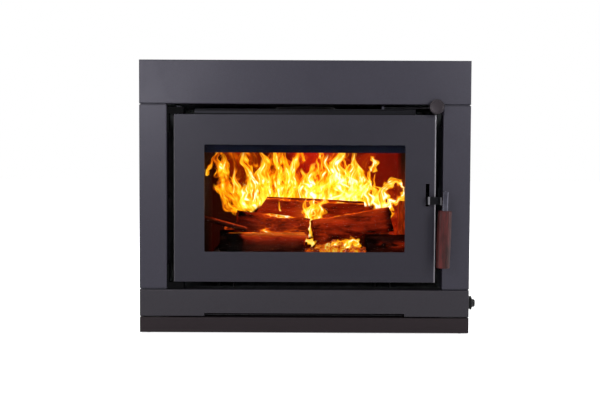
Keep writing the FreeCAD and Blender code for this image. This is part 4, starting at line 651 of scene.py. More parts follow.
def flame_linked(shade):
    """Flame: thin glowing gas, so that tongues add up where they overlap. Each is hottest in its middle,
    cooler to its edge and tip, with rolling patches and fine streaks along it; the ragged edge clears to
    nothing."""
    across, along, _ = shade.parts(shade.place(kind="UV"))
    middle = shade.calc("SUBTRACT", 1.0, shade.calc("ABSOLUTE", shade.spread(across, 0, 1, -1, 1)))
    flow = shade.add("ShaderNodeCombineXYZ", {
        "X": across, "Y": shade.calc("MULTIPLY", along, shade.field("length")),
        "Z": shade.field("turn")}).outputs["Vector"]
    roll = shade.spread(shade.noise(flow, 1.7, detail=1.5, twist=1.6), 0.3, 0.7, -0.5, 0.5)
    stretched = shade.add("ShaderNodeMapping", {"Vector": flow, "Scale": (1.7, 0.75, 1.0)}).outputs["Vector"]
    fold = shade.calc("SUBTRACT", shade.noise(stretched, 1.2, detail=1.2, twist=1.4), 0.5)
    streak = shade.spread(shade.calc("ABSOLUTE", fold), 0.0, 0.16, 0.5, -0.4)
    uneven = shade.calc("ADD", shade.calc("MULTIPLY", roll, 0.42), shade.calc("MULTIPLY", streak, 0.3))
    rim = shade.spread(middle, 0.0, 0.8, -0.28, 0.0, smooth=True)
    cooled = shade.calc("SUBTRACT", uneven, shade.calc("MULTIPLY", along, 0.14))
    heat = shade.calc("ADD", shade.field("glow"), rim, cooled)
    torn = shade.calc("MULTIPLY", shade.calc("ADD", roll, streak), shade.spread(along, 0.0, 1.0, 0.34, 0.6))
    edge = shade.spread(shade.calc("ADD", middle, torn), 0.02, 0.46, smooth=True)
    tip = shade.spread(along, 1.0, 0.8, smooth=True)
    root = shade.spread(along, 0.0, 0.1, smooth=True)
    dense = shade.spread(heat, 0.4, 1.1, 0.06, 0.46)
    return {"Emission_Color": shade.ramp(shade.spread(heat, 0.0, 1.18), BURNING_GAS),
            "Alpha": shade.calc("MULTIPLY", dense, edge, tip, root)}


flame = new_finish("flame", flame_linked, Base_Color=BLACK, Emission_Strength=2.4, Roughness=1.0,
                   Specular_IOR_Level=0.0)

FINISHES = {
    charcoal: ("fascia_top", "fascia_left", "fascia_right"),
    lower_charcoal_painted_shade: ("fascia_lower",),
    door_charcoal_painted_light: ("door_panel",),
    charcoal_with_painted_shade: ("air_box",),
    plinth_painted_shade: ("plinth_panel",),
    zinc: ("casing_left", "casing_right", "casing_back", "casing_top", "base_pan", "fan_deck"),
    plated_steel: ("casing_screws", "levelling_bolts", "flue_bolts", "clip_screws", "knob_shaft"),
    firebox_black: ("firebox_rails", "firebox_floor", "firebox_left", "firebox_right", "firebox_back",
                    "firebox_top", "firebox_front", "flue_spigot", "baffle_plate", "log_bar",
                    "seal_frame", "glass_clips", "door_catch"),
    blued_black: ("airwash_plate",),
    shadow_black: ("hinge_lugs", "fascia_screws"),
    dark_steel: ("hinge_pins", "hinge_blocks", "latch_cheeks", "latch_pin", "latch_lever", "plinth_feet"),
    strap_steel: ("handle_strap",),
    plain_steel: ("air_damper", "handle_rod"),
    rod_steel: ("air_rod",),
    fire_brick: ("floor_bricks", "wall_bricks"),
    window_glass: ("door_glass",),
    gasket_tape: ("glass_gasket",),
    fan_sheet: ("fan_impeller", "fan_end_plates", "fan_scroll"),
    motor_paint: ("fan_motor",),
    black_plastic: ("speed_control", "cable_gland"),
}
for finish, names in FINISHES.items():
    for name in names:
        for slot in nodes[name].material_slots:
            slot.material = finish


# Handle grip, knobs and rope


# Lengths in metres; the flutes and the pointer by the knob's radius
HANDLE_LEAN = math.radians(1.7)
GRIP_EDGE = 0.0018
FLUTES = 16
FLUTE_DEPTH = 0.09
POINTER_HEIGHT = 0.22
ROPE_CORNER = 0.016
ROPE_TWISTS = 130
ROPE_STRANDS = 3


def make_grip():
    """The wooden grip: a lathe form that swells a little at its middle, with rounded ends, on the handle's
    leaning axis."""
    low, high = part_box("handle_grip")
    axis = np.array([-math.sin(HANDLE_LEAN), 0.0, -math.cos(HANDLE_LEAN)])
    radius = (high.y - low.y) / 2
    middle = np.array([(low.x + high.x) / 2, (low.y + high.y) / 2, (low.z + high.z) / 2])
    length = (high.z - low.z - 2 * radius * math.sin(HANDLE_LEAN)) / math.cos(HANDLE_LEAN)
    share = 0.5 - 0.5 * np.cos(np.linspace(0, np.pi, 48))
    swell = radius * (0.955 + 0.045 * np.sin(np.pi * share))
    ends = np.minimum(share, 1 - share) * length
    rounding = GRIP_EDGE - np.sqrt(np.maximum(GRIP_EDGE ** 2 - (GRIP_EDGE - ends) ** 2, 0))
    inset = np.where(ends < GRIP_EDGE, rounding, 0)
    lengths = share * length - length / 2
    profile = np.stack([lengths, swell - inset], axis=-1)
    turned_piece("grip_turned", middle, axis, profile, 64, grip_wood, "latch",
                 replaces=("handle_grip",))


def make_air_knob():
    """The air control's disc: a lathe form with a rounded rim and a shallow dished face."""
    low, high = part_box("air_knob")
    radius = (high.z - low.z) / 2
    depth = high.y - low.y
    origin = np.array([(low.x + high.x) / 2, high.y, (low.z + high.z) / 2])
    outline = [(0.0, radius * 0.5), (0.0, radius), (depth, radius), (depth, radius * 0.82),
               (depth - 0.0012, radius * 0.78), (depth - 0.0016, radius * 0.3),
               (depth - 0.0016, radius * 0.02)]
    turned_piece("air_knob_disc", origin, (0, -1, 0), rounded_profile(outline, 0.0032), 72, knob_paint,
                 "air_slide", replaces=("air_knob",))


def make_fan_knob():
    """The speed knob: a boss, a skirt, a waist and a fluted grip whose radius dips sixteen times round, with
    one higher ridge that points to the setting."""
    low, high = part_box("fan_knob")
    radius = (high.z - low.z) / 2
    length = high.x - low.x
    origin = np.array([low.x, (low.y + high.y) / 2, (low.z + high.z) / 2])
    outline = [(0.0, radius * 0.4), (0.0, radius * 0.84), (0.0038, radius * 0.84), (0.0044, radius),
               (0.0084, radius), (0.0094, radius * 0.72), (0.0116, radius * 0.54), (length, radius * 0.5),
               (length, radius * 0.02)]
    profile = rounded_profile(outline, 0.001, 8)

    def flute(angle, along):
        grip = smooth_step(0.0108, 0.0124, along) * (1 - smooth_step(length - 0.001, length, along))
        dips = FLUTE_DEPTH * (0.5 + 0.5 * np.cos(FLUTES * angle)) ** 2
        pointer = POINTER_HEIGHT * bump_at(angle, math.pi, 0.16)
        return 1 - grip * (dips - pointer)

    turned_piece("fan_knob_fluted", origin, (1, 0, 0), profile, 192, black_plastic, "fan_control",
                 flute, replaces=("fan_knob",))


def make_rope():
    """The door rope: a round section carried along a rounded rectangle, raised in two sets of strands that
    are wound in opposite ways, so that it looks knitted."""
    low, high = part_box("rope_seal")
    radius = (high.y - low.y) / 2
    half_x, half_z = (high.x - low.x) / 2 - radius, (high.z - low.z) / 2 - radius
    centre_x, centre_z = (high.x + low.x) / 2, (high.z + low.z) / 2
    turn = np.linspace(0, math.pi / 2, 13)
    quarter = np.stack([np.cos(turn), np.sin(turn)], axis=-1)
    bends = []
    for step, (sign_x, sign_z) in enumerate(((1, 1), (-1, 1), (-1, -1), (1, -1))):
        cosine, sine = math.cos(step * math.pi / 2), math.sin(step * math.pi / 2)
        spun = quarter @ np.array([[cosine, sine], [-sine, cosine]])
        centre = (sign_x * (half_x - ROPE_CORNER), sign_z * (half_z - ROPE_CORNER))
        bends.append(spun * ROPE_CORNER + centre)
    loop = np.concatenate(bends + [bends[0][:1]])
    reach = np.concatenate([[0], np.cumsum(np.linalg.norm(np.diff(loop, axis=0), axis=1))])
    count, around = 1100, 20
    place = np.linspace(0, reach[-1], count, endpoint=False)
    path = np.stack([np.interp(place, reach, loop[:, axis]) for axis in (0, 1)], axis=-1)
    ahead = np.roll(path, -1, axis=0) - np.roll(path, 1, axis=0)
    ahead /= np.linalg.norm(ahead, axis=1)[:, None]
    outward = np.stack([ahead[:, 1], -ahead[:, 0]], axis=-1)
    angle = np.linspace(0, TURN, around, endpoint=False)[None, :]
    phase = place[:, None] / reach[-1] * TURN * ROPE_TWISTS
    strands = np.maximum(np.cos(ROPE_STRANDS * angle + phase), np.cos(ROPE_STRANDS * angle - phase))
    lift = smooth_step(-0.2, 0.9, strands)
    width = radius * (0.9 + 0.1 * lift)
    across, deep = width * np.cos(angle), width * np.sin(angle)
    points = np.stack([
        centre_x + path[:, :1] + across * outward[:, :1], (low.y + high.y) / 2 + deep,
        centre_z + path[:, 1:] + across * outward[:, 1:]], axis=-1)
    wrapped = ring_faces(count + 1, around) % (count * around)
    add_piece("rope_knitted", points, wrapped, [], seal_rope, "door",
              fields={"lift": lift}, replaces=("rope_seal",))


make_grip()
make_air_knob()
make_fan_knob()
make_rope()


# Fire


# Logs: heights of the slow waves, of bark ridges and of split fibre by the radius, the rim's raggedness in
# metres, and the sizes of the rings that close an end
LOG_WAVE = 0.035
BARK_RIDGE = 0.07
FIBRE_RIDGE = 0.012
RAGGED_END = 0.004
END_RINGS = (0.92, 0.66, 0.4, 0.18)


def log_section(angle, radius, flats):
    """The radius of a split round at each angle: the round and the flats, each a line at its share of the
    radius facing its own angle, taken together as a soft least value."""
    power = 18
    total = np.full(angle.shape, radius ** -power)
    for facing, share in flats:
        lean = np.maximum(np.cos(angle - math.radians(facing)), 0.05)
        total = total + (radius * share / lean) ** -power
    return total ** (-1 / power)


def log_form(start, end, radius, flats, seed, char, glow, lit, cut=0.0, around=112, along=72):
    """One log: its section carried from start to end on a straight line, with bark ridges on the round part,
    fibre lines on the flats, end faces drawn in to the middle and a ragged rim; cut is the slope of the first
    end's saw cut, which moves the rim along the log by its height. char, glow and lit are functions of the
    share along the log and of the angle, where 90 degrees is up and 180 faces the room."""
    start, end = np.asarray(start), np.asarray(end)
    length = np.linalg.norm(end - start)
    axis = (end - start) / length
    up = np.array([0.0, 0.0, 1.0]) - axis[2] * axis
    up /= np.linalg.norm(up)
    back = np.cross(up, axis)
    share = np.linspace(0, 1, along)[:, None]
    angle = np.linspace(0, TURN, around, endpoint=False)[None, :]
    section = log_section(angle + 0 * share, radius, flats)
    bark = smooth_step(0.9, 0.985, section / radius)
    ridge = np.abs(ripple(angle * 3.0 + 0.9 * np.sin(5 * share + seed), share * 3.0, seed, 6, (2.0, 6.0)))
    fibre_line = ripple(angle * 9.0, share * 1.5, seed + 1, 8, (2.0, 7.0))
    wave = ripple(angle, share * 4.0, seed + 2, 5, (1.0, 2.0))
    section = section * (1 + LOG_WAVE * wave + bark * BARK_RIDGE * (ridge - 0.5)
                         + (1 - bark) * FIBRE_RIDGE * fibre_line)
    ends = RAGGED_END * ripple(angle * 2.0, angle, seed + 3, 6, (2.0, 6.0))
    sloped = cut * section * np.sin(angle) * (1 - share) ** 2
    reach = share * (length + 0 * angle) + ends * (2 * share - 1) + sloped
    rings = (start + reach[..., None] * axis
             + section[..., None] * (np.cos(angle)[..., None] * back + np.sin(angle)[..., None] * up))
    inward = np.array(END_RINGS)[:, None, None]

    def drawn_in(rim):
        middle = rim.mean(axis=1, keepdims=True)
        return middle + (rim - middle) * inward

    points = np.concatenate([drawn_in(rings[:1])[::-1], rings, drawn_in(rings[-1:])])
    extra = len(inward)
    lengthwise = np.concatenate([np.zeros(extra), share[:, 0], np.ones(extra)])[:, None] + 0 * angle
    degrees = np.degrees(angle) + 0 * lengthwise
    bare = np.zeros((extra, around))
    fields = {"bark": np.concatenate([bare, bark, bare])}
    for name, value in (("char", char), ("glow", glow), ("lit", lit)):
        fields[name] = np.clip(value(lengthwise, degrees) + 0 * degrees, 0, 1)
    return points, fields


def make_logs():
    """The logs, each where the solid model has it, as one mesh."""
    forms = [
        # front left: smooth split face, warm brown, its left end burnt black, embers along its top edge
        log_form((-0.196, 0.062, 0.2115), (0.0, 0.064, 0.2105), 0.0345, [(178, 0.93), (100, 0.95)], 11,
                 lambda s, a: 0.1 + smooth_step(0.2, 0.15, s) + 0.3 * bump_at(a, 260, 45),
                 lambda s, a: 0.7 * bump_at(a, 84, 12),
                 lambda s, a: (0.06 + 0.8 * bump_at(a, 108, 52)) * smooth_step(0.1, 0.24, s)),
        # low log at the right, charred
        log_form((0.158, 0.060, 0.2115), (0.262, 0.058, 0.2095), 0.034, [(100, 0.92)], 12,
                 lambda s, a: 0.85, lambda s, a: 0.42 * bump_at(a, 235, 30) * smooth_step(0.2, 0.5, s),
                 lambda s, a: 0.16 + 0.5 * bump_at(a, 168, 16) * smooth_step(0.15, 0.4, s)),
        # middle and back rows
        log_form((-0.222, 0.136, 0.2115), (0.222, 0.136, 0.2115), 0.034, [], 13,
                 lambda s, a: 0.85, lambda s, a: 0.5 * bump_at(a, 90, 60) * smooth_step(0.08, 0.25, s),
                 lambda s, a: 0.3 * smooth_step(0.1, 0.3, s)),
        log_form((-0.22, 0.240, 0.2135), (0.22, 0.240, 0.2135), 0.036, [], 14,
                 lambda s, a: 0.8, lambda s, a: 0.5 * bump_at(a, 90, 60), lambda s, a: 0.3),
        # left log on the front and middle rows, rough bark, embers at its upper edge
        log_form((-0.176, 0.094, 0.2695), (0.006, 0.116, 0.2475), 0.0325, [(60, 0.8)], 15,
                 lambda s, a: 0.35 + 0.4 * smooth_step(0.25, 0.0, s),
                 lambda s, a: (0.34 * smooth_step(0.1, 0.35, s)
                               + 1.1 * bump_at(s, 0.58, 0.17) * bump_at(a, 112, 13)
                               + 0.7 * bump_at(s, 0.41, 0.06) * bump_at(a, 205, 14)
                               + 0.62 * bump_at(s, 0.8, 0.18) * bump_at(a, 218, 20)),
                 lambda s, a: 0.33 + 0.24 * bump_at(a, 126, 40)),
        # right log, split, leaning up to the right
        log_form((0.022, 0.080, 0.2465), (0.224, 0.100, 0.2820), 0.0385,
                 [(182, 0.74), (80, 0.72), (275, 0.9)], 16,
                 lambda s, a: 0.3 + 0.55 * smooth_step(0.86, 0.97, s) + 0.2 * bump_at(a, 230, 30),
                 lambda s, a: (0.6 * bump_at(a, 128, 8) * smooth_step(0.0, 0.3, s)
                               + 0.3 * bump_at(s, 0.1, 0.1)),
                 lambda s, a: ((0.38 + 0.26 * bump_at(a, 136, 44) + 0.12 * bump_at(a, 215, 30))
                               * smooth_step(1.04, 0.9, s))),
        # top log, split, with a broad flat face to the room
        log_form((-0.130, 0.184, 0.2870), (0.158, 0.186, 0.2760), 0.050, [(184, 0.72), (92, 0.92)], 17,
                 lambda s, a: 0.1 + 0.35 * smooth_step(0.6, 1.0, s),
                 lambda s, a: 0.72 * bump_at(a, 124, 7),
                 lambda s, a: 0.52 + 0.26 * bump_at(s, 0.5, 0.16), cut=0.6),
        # kindling stick leaning from the left bricks to the front log
        log_form((-0.258, 0.047, 0.2830), (-0.150, 0.052, 0.2530), 0.0065, [], 18,
                 lambda s, a: 0.4, lambda s, a: 0.3 * bump_at(a, 120, 50),
                 lambda s, a: 0.7 * bump_at(a, 112, 40) * smooth_step(0.0, 0.3, s), around=40, along=40),
    ]
    points, quads, triangles, first = [], [], [], 0
    fields = {"bark": [], "char": [], "glow": [], "lit": []}
    for rings, values in forms:
        shape = rings.shape[:2]
        points.append(capped(rings))
        quads.append(ring_faces(*shape, first))
        triangles.append(fan_faces(*shape, first))
        for name in fields:
            fields[name].append(capped(values[name][..., None])[:, 0])
        first += shape[0] * shape[1] + 2
    fields = {name: np.concatenate(parts) for name, parts in fields.items()}
    add_piece("logs_burning", np.concatenate(points), np.concatenate(quads), np.concatenate(triangles),
              log_wood, "heater", fields=fields, replaces=("firewood",))


def ember_heat(x, y):
    """How hot the bed is at a place: hottest between the front logs and cool at the left."""
    return 0.42 + 0.5 * bump_at(x, 0.085, 0.07) * bump_at(y, 0.07, 0.08) - 0.3 * smooth_step(-0.1, -0.2, x)


def ember_height(x, y):
    """The bed's height above the bricks: a low layer with a mound between the front logs and heaps at the
    ends."""
    mound = 0.046 * bump_at(x, 0.082, 0.075) * bump_at(y, 0.075, 0.05)
    heap = 0.030 * bump_at(x, 0.225, 0.05) * bump_at(y, 0.035, 0.035) + 0.012 * bump_at(x, -0.235, 0.03)
    return 0.011 + mound + heap


# Metres, apart from the count, and the dents by the coal's radius
LUMP_HEIGHT = 0.006
BED_RIM = 0.014
COAL_COUNT = 420
COAL_RADIUS = (0.0045, 0.0105)
COAL_DENT = 0.32


def make_embers():
    """The ember bed: a closed layer whose top is the bed height with coarse lumps, and several hundred coals
    on it, each a small ball squeezed and dented by seeded numbers."""
    low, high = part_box("ember_bed")
    across, deep = 150, 96
    x = np.linspace(low.x, high.x, across)[:, None] + np.zeros((1, deep))
    y = np.linspace(low.y, high.y, deep)[None, :] + np.zeros((across, 1))
    rim = np.minimum(np.minimum(x - low.x, high.x - x), np.minimum(y - low.y, high.y - y))
    lumps = np.abs(ripple(x * 60, y * 60, 31, 9, (1.0, 4.0)))
    top = low.z + (ember_height(x, y) + LUMP_HEIGHT * lumps) * smooth_step(0, BED_RIM, rim) + 0.001
    sheet = np.stack([x, y, top], axis=-1).reshape(-1, 3)
    floor = np.stack([x, y, np.full_like(x, low.z)], axis=-1).reshape(-1, 3)
    count = across * deep
    cell = (np.arange(across - 1)[:, None] * deep + np.arange(deep - 1)[None, :]).ravel()
    upper = np.stack([cell, cell + deep, cell + deep + 1, cell + 1], axis=-1)
    edge = np.concatenate([
        np.arange(across) * deep, (across - 1) * deep + np.arange(1, deep),
        (np.arange(across - 1)[::-1]) * deep + deep - 1, np.arange(deep - 1)[::-1][:-1]])
    beyond = np.roll(edge, -1)
    wall = np.stack([beyond, edge, edge + count, beyond + count], axis=-1)
    quads = np.concatenate([upper, upper[:, ::-1] + count, wall])
    bed_heat = np.clip(ember_heat(x, y) + 0.12 * ripple(x * 40, y * 40, 32), 0, 1).ravel()

    rng = np.random.default_rng(33)
    tall, around = 5, 8
    coal_x = rng.uniform(low.x + 0.012, high.x - 0.012, COAL_COUNT)
    coal_y = low.y + 0.006 + (high.y - low.y - 0.03) * rng.uniform(0, 1, COAL_COUNT) ** 1.7
    size = rng.uniform(*COAL_RADIUS, COAL_COUNT)
    latitude = np.linspace(-math.pi / 2, math.pi / 2, tall + 2)[1:-1]
    turn = np.linspace(0, TURN, around, endpoint=False)
    ball = np.stack([np.cos(latitude)[:, None] * np.cos(turn), np.cos(latitude)[:, None] * np.sin(turn),
                     np.sin(latitude)[:, None] + 0 * turn], axis=-1)
    poles = np.array([[0, 0, -1.0], [0, 0, 1.0]])
    ball = np.concatenate([ball.reshape(-1, 3), poles])
    dents = 1 + COAL_DENT * rng.uniform(-1, 1, (COAL_COUNT, len(ball), 1))
    squeeze = rng.uniform(0.65, 1.25, (COAL_COUNT, 1, 3))
    coal_z = low.z + ember_height(coal_x, coal_y) + 0.35 * size
    centres = np.stack([coal_x, coal_y, coal_z], axis=-1)[:, None, :]
    coals = centres + ball * dents * squeeze * size[:, None, None]
    coal_heat = np.clip(ember_heat(coal_x, coal_y) + rng.uniform(-0.22, 0.16, COAL_COUNT), 0, 1)
    starts = 2 * count + np.arange(COAL_COUNT) * len(ball)
    coal_quads = copies(ring_faces(tall, around), starts)
    coal_fans = copies(fan_faces(tall, around), starts)
    heat = np.concatenate([bed_heat, bed_heat, np.repeat(coal_heat, len(ball))])
    add_piece("ember_coals", np.concatenate([sheet, floor, coals.reshape(-1, 3)]),
              np.concatenate([quads, coal_quads]), coal_fans, ember, "heater",
              fields={"glow": heat}, replaces=("ember_bed",))


# The camera's place, and the y of the fascia's front
EYE = np.array([0.0, -2.545, 0.45])
FRONT_PLANE = -0.045

# Each tongue: the x and z of its foot, its bend and its tip in millimetres as seen on the front plane,
# half width in millimetres, depth in metres, heat
TONGUES = np.array([
    # left, leaning out to the left
    (-147, 302, -199, 348, -215, 462, 21, 0.175, 0.82),
    (-154, 300, -206, 322, -222, 378, 14, 0.165, 0.76),
    (-131, 308, -170, 336, -171, 420, 15, 0.185, 0.84),
    (-205, 392, -219, 420, -212, 468, 17, 0.180, 0.78),
    (-124, 306, -148, 330, -158, 376, 24, 0.160, 0.93),
    (-238, 394, -250, 406, -222, 434, 7, 0.170, 0.78),
    # second group
    (-114, 314, -131, 374, -153, 466, 19, 0.215, 0.92),
    (-98, 322, -101, 380, -112, 438, 19, 0.200, 0.88),
    (-86, 326, -84, 400, -118, 468, 14, 0.225, 0.84),
    # upright streams left of the middle
    (-60, 326, -73, 398, -72, 474, 13, 0.235, 0.90),
    (-47, 326, -40, 398, -52, 474, 14, 0.245, 0.86),
    (-27, 326, -30, 394, -20, 474, 13, 0.235, 0.88),
    (-12, 326, -14, 374, -4, 416, 15, 0.225, 0.84),
    (-66, 326, -52, 364, -60, 392, 18, 0.218, 0.92),
    # middle
    (12, 324, 15, 378, 23, 432, 18, 0.240, 0.90),
    (34, 322, 38, 374, 43, 422, 18, 0.250, 0.86),
    (21, 324, 8, 360, 2, 384, 22, 0.228, 0.98),
    # hot mass right of the middle
    (64, 320, 70, 388, 54, 452, 21, 0.240, 0.95),
    (86, 318, 83, 394, 86, 476, 26, 0.250, 1.0),
    (112, 316, 119, 380, 116, 466, 21, 0.238, 0.98),
    (132, 316, 135, 376, 141, 430, 22, 0.245, 0.98),
    (100, 320, 102, 356, 96, 392, 36, 0.225, 1.0),
    # right, with a curl
    (157, 318, 154, 354, 148, 388, 22, 0.190, 0.98),
    (180, 312, 177, 340, 164, 378, 18, 0.180, 0.96),
    (164, 404, 178, 426, 164, 448, 11, 0.200, 0.88),
    (167, 366, 154, 384, 158, 412, 5, 0.190, 0.86),
    (194, 312, 184, 366, 222, 384, 15, 0.165, 0.96),
    (204, 376, 240, 394, 248, 356, 9, 0.160, 0.94),
    (247, 366, 252, 336, 208, 330, 11, 0.160, 0.94),
    (196, 306, 208, 326, 228, 338, 15, 0.162, 0.96),
    (216, 292, 206, 310, 214, 334, 10, 0.150, 0.84),
    # broad faint tongues behind all, up to the top of the window
    (-150, 306, -176, 372, -182, 520, 40, 0.285, 0.38),
    (-112, 310, -118, 380, -132, 520, 40, 0.285, 0.46),
    (-60, 312, -66, 384, -70, 524, 40, 0.285, 0.58),
    (-20, 312, -28, 384, -30, 512, 36, 0.285, 0.56),
    (34, 310, 40, 372, 42, 470, 38, 0.285, 0.44),
    (84, 308, 88, 380, 84, 524, 40, 0.285, 0.54),
    (130, 306, 140, 372, 146, 486, 40, 0.285, 0.42),
    # broad low tongues at the back that join the groups
    (-92, 318, -104, 356, -96, 404, 27, 0.262, 0.86),
    (-38, 320, -44, 360, -36, 412, 30, 0.266, 0.88),
    (18, 318, 24, 352, 14, 398, 30, 0.266, 0.90),
    (58, 316, 56, 356, 66, 418, 28, 0.262, 0.92),
    (120, 312, 126, 350, 118, 408, 32, 0.262, 0.95),
    # in front of the top log, from the embers up between the two logs before it
    (15, 240, 6, 286, 2, 344, 12, 0.100, 0.92),
    (24, 282, 38, 306, 44, 346, 18, 0.120, 0.90),
    (8, 284, 18, 310, 22, 340, 14, 0.128, 0.94),
    (-59, 306, -67, 318, -62, 334, 3, 0.118, 0.88),
    # over the embers under the right log
    (24, 222, 16, 232, 0, 240, 9, 0.052, 0.96),
    (96, 216, 116, 230, 132, 242, 14, 0.054, 0.98),
    (66, 218, 88, 226, 98, 236, 10, 0.050, 0.94),
    (122, 212, 132, 222, 138, 240, 9, 0.052, 0.92),
])


# Metres of a tongue's thickness, to each side of its middle, for a millimetre of half width
FLAME_THICKNESS = 0.0001


def loose_wisps(count, seed):
    """Small thin tongues that leave the top of the fire: seeded places across it, each leaning a little."""
    rng = np.random.default_rng(seed)
    x = rng.uniform(-200, 190, count)
    z = 372 + 40 * np.cos(x / 60) + rng.uniform(-30, 30, count)
    rise = rng.uniform(26, 60, count)
    lean = rng.uniform(-16, 12, count)
    bend = rng.uniform(-9, 9, count)
    half = rng.uniform(3, 7, count)
    depth = rng.uniform(0.165, 0.255, count)
    heat = rng.uniform(0.74, 0.9, count)
    return np.stack([x, z, x + bend, z + rise / 2, x + lean, z + rise, half, depth, heat], axis=-1)


def make_flames():
    """The flames: each tongue is a lens carried up a quadratic curve from foot over bend to tip, brought back
    along the line of sight to its depth. Its half width rises quickly from the foot, narrows as a power of
    what is left to the tip and wavers on each side by its own waves; it is a tenth as thick as it is wide,
    thickest in the middle."""
    tongues = np.concatenate([TONGUES, loose_wisps(26, 41)])
    foot_x, foot_z, bend_x, bend_z, tip_x, tip_z, half, depth, heat = (
        tongues[:, column, None, None] for column in range(9))
    number, along, across = len(tongues), 48, 13
    share = np.linspace(0, 1, along)[None, :, None]
    side = np.linspace(-1, 1, across)[None, None, :]
    order = np.arange(number)[:, None, None]
    line_x, line_z = curve(share, foot_x, bend_x, tip_x), curve(share, foot_z, bend_z, tip_z)
    ahead_x = 2 * (1 - share) * (bend_x - foot_x) + 2 * share * (tip_x - bend_x)
    ahead_z = 2 * (1 - share) * (bend_z - foot_z) + 2 * share * (tip_z - bend_z)
    speed = np.hypot(ahead_x, ahead_z)
    right_x, right_z = ahead_z / speed, -ahead_x / speed
    sway = half * share * (0.42 * np.sin(9 * share + 1.7 * order) + 0.16 * np.sin(23 * share + 2.9 * order))
    body = 1.95 * (share + 0.06) ** 0.42 * (1 - share + 0.004) ** 0.72
    waver = 1 + 0.4 * np.abs(side) * np.where(
        side < 0, np.sin(14 * share + 2.3 * order), np.sin(17 * share + 4.1 * order + 1))
    off = sway + half * body * waver * side
    seen_x, seen_z = line_x + off * right_x, line_z + off * right_z
    y = depth + 0.012 * np.sin(4 * share + order) + 0 * seen_x
    thick = FLAME_THICKNESS * half * body * (1 - side ** 2)
    rings = []
    for face, columns in ((-1, slice(None)), (1, slice(-2, 0, -1))):
        back = y + face * thick
        reach = (back - EYE[1]) / (FRONT_PLANE - EYE[1])
        faced = np.stack([EYE[0] + (seen_x / 1000 - EYE[0]) * reach, back,
                          EYE[2] + (seen_z / 1000 - EYE[2]) * reach], axis=-1)
        rings.append(faced[:, :, columns])
    rings = np.concatenate(rings, axis=2)
    around = rings.shape[2]
    middles = np.stack([rings[:, 0].mean(axis=1), rings[:, -1].mean(axis=1)], axis=1)
    points = np.concatenate([rings.reshape(number, -1, 3), middles], axis=1)
    flat_u = np.concatenate([side[0, 0], side[0, 0][-2:0:-1]])[None, :] * 0.5 + 0.5
    ring_uv = np.stack(np.broadcast_arrays(flat_u, share[0]), axis=-1).reshape(-1, 2)
    uv = np.tile(np.concatenate([ring_uv, [(0.5, 0.0), (0.5, 1.0)]]), (number, 1))
    starts = np.arange(number) * points.shape[1]
    quads, fans = copies(ring_faces(along, around), starts), copies(fan_faces(along, around), starts)
    length = np.hypot(tip_x - foot_x, tip_z - foot_z) / 70
    fields = {name: np.repeat(value.ravel(), points.shape[1])
              for name, value in (("glow", heat), ("length", length), ("turn", 3.7 * order))}
    add_piece("flames", points, quads, fans, flame, "heater", uv=uv, fields=fields)


make_logs()
make_embers()
make_flames()


# Floor, light and camera


FLOOR_REACH = 14.0

# Name, place, aim, width, height and watts of each lamp
LAMPS = (
    ("left_softbox", (-1.0, -2.5, 1.0), (-0.3, 0.0, 0.5), 0.6, 0.6, 24.0),
    ("right_softbox", (1.3, -2.4, 1.1), (0.3, 0.0, 0.5), 0.6, 0.6, 20.0),
    ("right_strip", (2.3, -0.5, 0.8), (0.3, 0.0, 0.4), 0.4, 1.4, 16.0),
    ("left_strip", (-2.3, -0.5, 0.8), (-0.3, 0.0, 0.4), 0.4, 1.4, 10.0),
    ("rear_left_softbox", (-2.0, 2.0, 3.2), (0.0, 0.3, 0.3), 2.0, 2.0, 62.0),
    ("rear_right_softbox", (1.6, 2.2, 3.2), (0.0, 0.3, 0.3), 2.0, 2.0, 44.0),
    ("top_softbox", (0.0, -0.6, 2.4), (0.0, 0.1, 0.3), 2.0, 1.4, 14.0),
)


def empty_shade(owner):
    """The node tree of a material or world, with nothing in it yet."""
    owner.use_nodes = True
    owner.node_tree.nodes.clear()
    return Shade(owner.node_tree)


def shows_background(shade):
    """1 for a ray that comes from the camera, from a reflection or through glass, and otherwise 0."""
    path = shade.add("ShaderNodeLightPath").outputs
    return shade.calc("MAXIMUM", path["Is Camera Ray"], path["Is Glossy Ray"], path["Is Transmission Ray"])


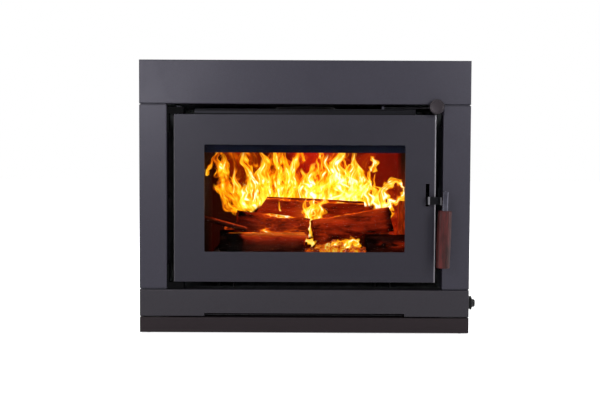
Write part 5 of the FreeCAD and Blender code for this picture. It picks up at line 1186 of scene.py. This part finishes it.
def make_floor():
    """A plain pale floor that reads white, and still shows the object's shadow."""
    mesh = bpy.data.meshes.new("floor")
    corners = [(x * FLOOR_REACH, y * FLOOR_REACH, 0) for x, y in ((-1, -1), (1, -1), (1, 1), (-1, 1))]
    mesh.from_pydata(corners, [], [(0, 1, 2, 3)])
    floor = new_object("floor", mesh)
    finish = bpy.data.materials.new("pale_floor")
    shade = empty_shade(finish)
    pale = shade.add("ShaderNodeBsdfDiffuse", {"Color": (0.86, 0.86, 0.86, 1)})
    white = shade.add("ShaderNodeEmission", {
        "Color": WHITE, "Strength": shade.calc("MULTIPLY", shows_background(shade), 0.8)})
    both = shade.add("ShaderNodeAddShader", {0: pale.outputs["BSDF"], 1: white.outputs["Emission"]})
    shade.add("ShaderNodeOutputMaterial", {"Surface": both.outputs["Shader"]})
    mesh.materials.append(finish)


def make_world():
    """White where it is seen, reflected or seen through glass, and soft even light on the object."""
    world = bpy.data.worlds.new("studio")
    bpy.context.scene.world = world
    shade = empty_shade(world)
    white = shade.add("ShaderNodeBackground", {"Color": WHITE, "Strength": 1.0})
    soft = shade.add("ShaderNodeBackground", {"Color": (0.96, 0.96, 1.0, 1), "Strength": 0.3})
    both = shade.add("ShaderNodeMixShader", {
        0: shows_background(shade), 1: soft.outputs["Background"], 2: white.outputs["Background"]})
    shade.add("ShaderNodeOutputWorld", {"Surface": both.outputs["Shader"]})


def point_at(item, aim):
    """Turns a lamp or camera so that it looks along the line to its aim, with Z up."""
    from_here = np.asarray(aim) - np.asarray(item.location)
    level = math.hypot(from_here[0], from_here[1])
    item.rotation_euler = (math.pi / 2 + math.atan2(from_here[2], level), 0.0,
                           math.atan2(-from_here[0], from_here[1]))


def make_lamp(name, place, aim, width, height, power):
    """A rectangular area lamp."""
    lamp = bpy.data.lights.new(name, "AREA")
    lamp.shape = "RECTANGLE"
    lamp.size, lamp.size_y, lamp.energy = width, height, power
    item = new_object(name, lamp)
    item.location = place
    point_at(item, aim)


def make_camera():
    """A long lens in front of the middle, a little above it and looking slightly down, with a slight roll and
    sideways shift."""
    camera = bpy.data.cameras.new("camera")
    camera.sensor_width = 36.0
    camera.lens = 60.6
    camera.shift_x = -0.0082
    item = new_object("camera", camera)
    item.location = tuple(EYE)
    point_at(item, (0.0, FRONT_PLANE, 0.3333))
    item.rotation_euler.y = math.radians(-0.25)
    bpy.context.scene.camera = item


make_floor()
make_world()
for lamp_values in LAMPS:
    make_lamp(*lamp_values)
make_camera()
bpy.context.scene.view_settings.view_transform = "Standard"
